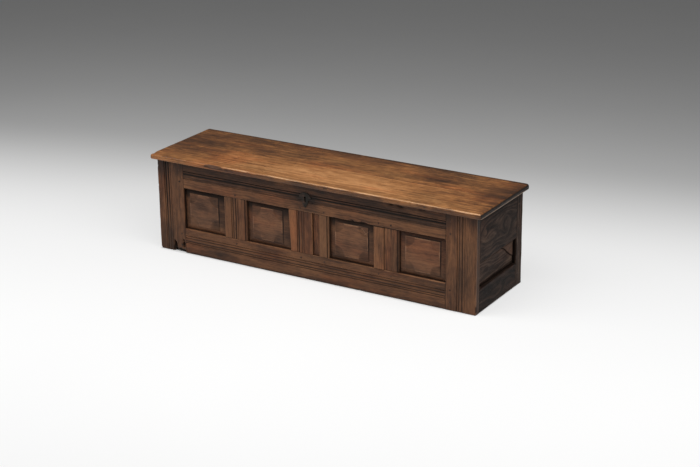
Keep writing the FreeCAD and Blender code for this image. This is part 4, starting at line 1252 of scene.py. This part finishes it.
def stud_tree():
    """Node tree that sets a small head and its stem on many points, each turned and sized a little apart."""
    tree = bpy.data.node_groups.new("studs", "GeometryNodeTree")
    inputs = {}
    for title, kind in (
        ("Points", "Geometry"), ("Sides", "Int"), ("Radius", "Float"), ("Tip radius", "Float"),
        ("Height", "Float"), ("Stem radius", "Float"), ("Stem length", "Float"), ("Seed", "Int"),
        ("Finish", "Material"),
    ):
        socket = tree.interface.new_socket(title, in_out="INPUT", socket_type="NodeSocket" + kind)
        inputs[title] = socket.identifier
    tree.interface.new_socket("Studs", in_out="OUTPUT", socket_type="NodeSocketGeometry")

    def add(kind, sockets, **settings):
        return add_node(tree, kind, settings, sockets)

    def random(low, high):
        """Number between two limits for each point: the node's third and fourth inputs, second output."""
        return add("FunctionNodeRandomValue", {2: low, 3: high, "Seed": given["Seed"]}, data_type="FLOAT")[1]

    given = add("NodeGroupInput", {})
    cap = add("GeometryNodeMeshCone", {
        "Vertices": given["Sides"], "Side Segments": 2, "Radius Top": given["Tip radius"],
        "Radius Bottom": given["Radius"], "Depth": given["Height"],
    }, fill_type="TRIANGLE_FAN")
    stem = add("GeometryNodeMeshCylinder", {
        "Vertices": given["Sides"], "Radius": given["Stem radius"], "Depth": given["Stem length"],
    }, fill_type="TRIANGLE_FAN")
    sunk_by = add("ShaderNodeMath", {0: given["Stem length"], 1: -0.45}, operation="MULTIPLY")
    drop = add("ShaderNodeCombineXYZ", {"Z": sunk_by[0]})
    lowered = add("GeometryNodeTransform", {"Geometry": stem["Mesh"], "Translation": drop[0]})
    head = add("GeometryNodeJoinGeometry", {0: cap["Mesh"]})
    tree.links.new(lowered[0], head[0].node.inputs[0])
    outward = add("GeometryNodeInputNamedAttribute", {"Name": "outward"}, data_type="FLOAT_VECTOR")
    spin = add("FunctionNodeAxisAngleToRotation", {"Axis": (0, 0, 1), "Angle": random(0.0, 2 * math.pi)})
    facing = add(
        "FunctionNodeAlignRotationToVector", {"Rotation": spin[0], "Vector": outward[0]}, axis="Z"
    )
    placed = add("GeometryNodeInstanceOnPoints", {
        "Points": given["Points"], "Instance": head[0], "Rotation": facing[0], "Scale": random(0.85, 1.12),
    })
    real = add("GeometryNodeRealizeInstances", {"Geometry": placed[0]})
    dressed = add("GeometryNodeSetMaterial", {"Geometry": real[0], "Material": given["Finish"]})
    add("NodeGroupOutput", {"Studs": dressed[0]})
    return tree, inputs


stud_nodes, stud_inputs = stud_tree()


def studs(name, settings, places, finish):
    """Plain mesh of the studs set at places, each with its outward direction."""
    dots = bpy.data.meshes.new(name + "_dots")
    dots.from_pydata([place for place, direction in places], [], [])
    directions = np.array([list(direction) for place, direction in places], float)
    dots.attributes.new("outward", "FLOAT_VECTOR", "POINT").data.foreach_set("vector", directions.ravel())
    carrier = bpy.data.objects.new(name + "_dots", dots)
    setter = carrier.modifiers.new("studs", "NODES")
    setter.node_group = stud_nodes
    for title, value in dict(settings, Finish=finish).items():
        setter[stud_inputs[title]] = value
    scene.collection.objects.link(carrier)
    shown = carrier.evaluated_get(bpy.context.evaluated_depsgraph_get())
    mesh = bpy.data.meshes.new_from_object(shown)
    mesh.name = name
    carrier.modifiers.remove(setter)
    bpy.data.objects.remove(carrier)
    return mesh


def seats(node, outward, rise):
    """Seat of each solid's head: the middle of its outer face, moved back by the head's rise."""
    found = []
    for low, high in solids_of(node):
        facing = np.array(list(outward))
        tip = np.where(facing > 0, high, np.where(facing < 0, low, (low + high) / 2))
        found.append((tuple(tip - rise * facing), outward))
    return found


peg_shape = {
    "Sides": 7, "Radius": 0.0048, "Tip radius": 0.0040, "Height": 0.0008, "Stem radius": 0.0048,
    "Stem length": 0.012, "Seed": 4,
}
nail_rise = 0.0024
nail_shape = {
    "Sides": 6, "Radius": 0.0052, "Tip radius": 0.0012, "Height": nail_rise, "Stem radius": 0.0015,
    "Stem length": 0.010, "Seed": 7,
}
small_nail_rise = 0.0016
small_nail_shape = dict(nail_shape, Radius=0.0033, Height=small_nail_rise, Seed=9)
small_nail_shape["Tip radius"] = 0.0009
peg_rise = 0.0005
floor_nail_inset = 0.045
end_seats = [
    seat for side in (X, -X) for seat in seats("end_pegs", side, peg_rise) if seat[0][0] * side.x > 0
]
floor_seats = []
for name in floor_boards:
    low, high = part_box(name)
    for ledger in ledgers:
        ledger_y = sum(corner.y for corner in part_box(ledger)) / 2
        for nail_x in (low.x + floor_nail_inset, high.x - floor_nail_inset):
            floor_seats.append(((nail_x, ledger_y, high.z), Z))

for name, shape, places, slot, body in (
    ("front_peg", peg_shape, seats("front_pegs", -Y, peg_rise), "peg_wood", "carcase"),
    ("end_peg", peg_shape, end_seats, "peg_wood", "carcase"),
    ("back_peg", peg_shape, seats("back_pegs", Y, peg_rise), "peg_wood", "carcase"),
    ("carcase_nail", nail_shape, seats("carcase_nails", Y, nail_rise), "iron", "carcase"),
    ("lid_nail", nail_shape, seats("lid_nails", -Z, nail_rise), "iron", "lid"),
    ("escutcheon_nail", small_nail_shape, seats("escutcheon_nails", -Y, small_nail_rise), "iron", "carcase"),
    ("floor_nail", nail_shape, floor_seats, "iron", "carcase"),
):
    # The floor's nails stand for no node
    nodes = [name + "s"] if name + "s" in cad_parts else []
    mesh = studs(name + "_heads", shape, places, finishes[slot])
    spots = np.zeros((len(mesh.vertices), 3))
    mesh.vertices.foreach_get("co", spots.ravel())
    mark(mesh, spots, np.zeros_like(spots), np.ones(len(spots)))
    settle(name + "_heads", mesh, body, nodes)

# Iron: the lock and the hinges, with their edges softened
flat_angle = math.radians(1)
sharp_angle = math.radians(30)


def forged(node, body, edge):
    """Copy of a node's solid with rounded edges, in place of it."""
    shape = merged(node)
    bmesh.ops.dissolve_limit(shape, angle_limit=flat_angle, verts=shape.verts, edges=shape.edges)
    sharp = [e for e in shape.edges if len(e.link_faces) == 2 and e.calc_face_angle() > sharp_angle]
    bmesh.ops.bevel(
        shape, geom=sharp, offset=edge, segments=2, profile=0.6, affect="EDGES", clamp_overlap=True
    )
    bmesh.ops.recalc_face_normals(shape, faces=shape.faces)
    mesh = bpy.data.meshes.new(node + "_iron")
    shape.to_mesh(mesh)
    shape.free()
    smoothed(mesh, "iron")
    settle(node + "_iron", mesh, body, [node])


for node, body, edge in (
    ("escutcheon", "carcase", 0.0005), ("lock_plate", "carcase", 0.0005), ("lock_cover", "carcase", 0.0005),
    ("lock_spring", "carcase", 0.0001), ("lock_bolt", "lock_bolt", 0.0005), ("lid_staple", "lid", 0.0005),
):
    forged(node, body, edge)
for hand in hands:
    forged(hand + "_hinge_strap", "lid", 0.0004)
    forged(hand + "_hinge_leaf", "carcase", 0.0004)
    forged(hand + "_hinge_pin", "carcase", 0.0002)

# Floor, light and camera
floor_reach = 30.0
floor_corners = [(x, y, 0) for x, y in ((-1, -1), (1, -1), (1, 1), (-1, 1))]
ground = bpy.data.meshes.new("studio_floor")
ground.from_pydata([Vector(corner) * floor_reach for corner in floor_corners], [], [(0, 1, 2, 3)])
ground.materials.append(pale_floor("studio_floor"))
floor = bpy.data.objects.new("studio_floor", ground)
scene.collection.objects.link(floor)

key_lamp = bpy.data.lights.new("key", "AREA")
key_lamp.shape = "RECTANGLE"
key_lamp.size = 9.0
key_lamp.size_y = 1.8
key_lamp.energy = 184
key = bpy.data.objects.new("key", key_lamp)
key.location = (0.5, -1.10, 2.7)
key.rotation_euler = (0, 0, math.radians(17))
scene.collection.objects.link(key)
world = bpy.data.worlds.new("studio")
world.use_nodes = True
sky = world.node_tree.nodes["Background"].inputs
sky["Color"].default_value = (1.0, 1.0, 1.0, 1.0)
sky["Strength"].default_value = 0.12
scene.world = world
scene.view_settings.view_transform = "Standard"

camera_yaw = math.radians(-31.3144)
camera_pitch = math.radians(20.3888)
camera_roll = math.radians(-0.6460)
camera_place = Vector((3.90925, -6.28982, 2.90808))
lens = bpy.data.cameras.new("camera")
lens.sensor_fit = "HORIZONTAL"
lens.sensor_width = 36.0
lens.lens = 86.096
lens.clip_end = 200.0
turn = Matrix()
for angle, axis in ((-camera_yaw, "Z"), (math.pi / 2 - camera_pitch, "X"), (camera_roll, "Z")):
    turn = turn @ Matrix.Rotation(angle, 4, axis)
camera = bpy.data.objects.new("camera", lens)
camera.matrix_world = Matrix.Translation(camera_place) @ turn
scene.collection.objects.link(camera)
scene.camera = camera
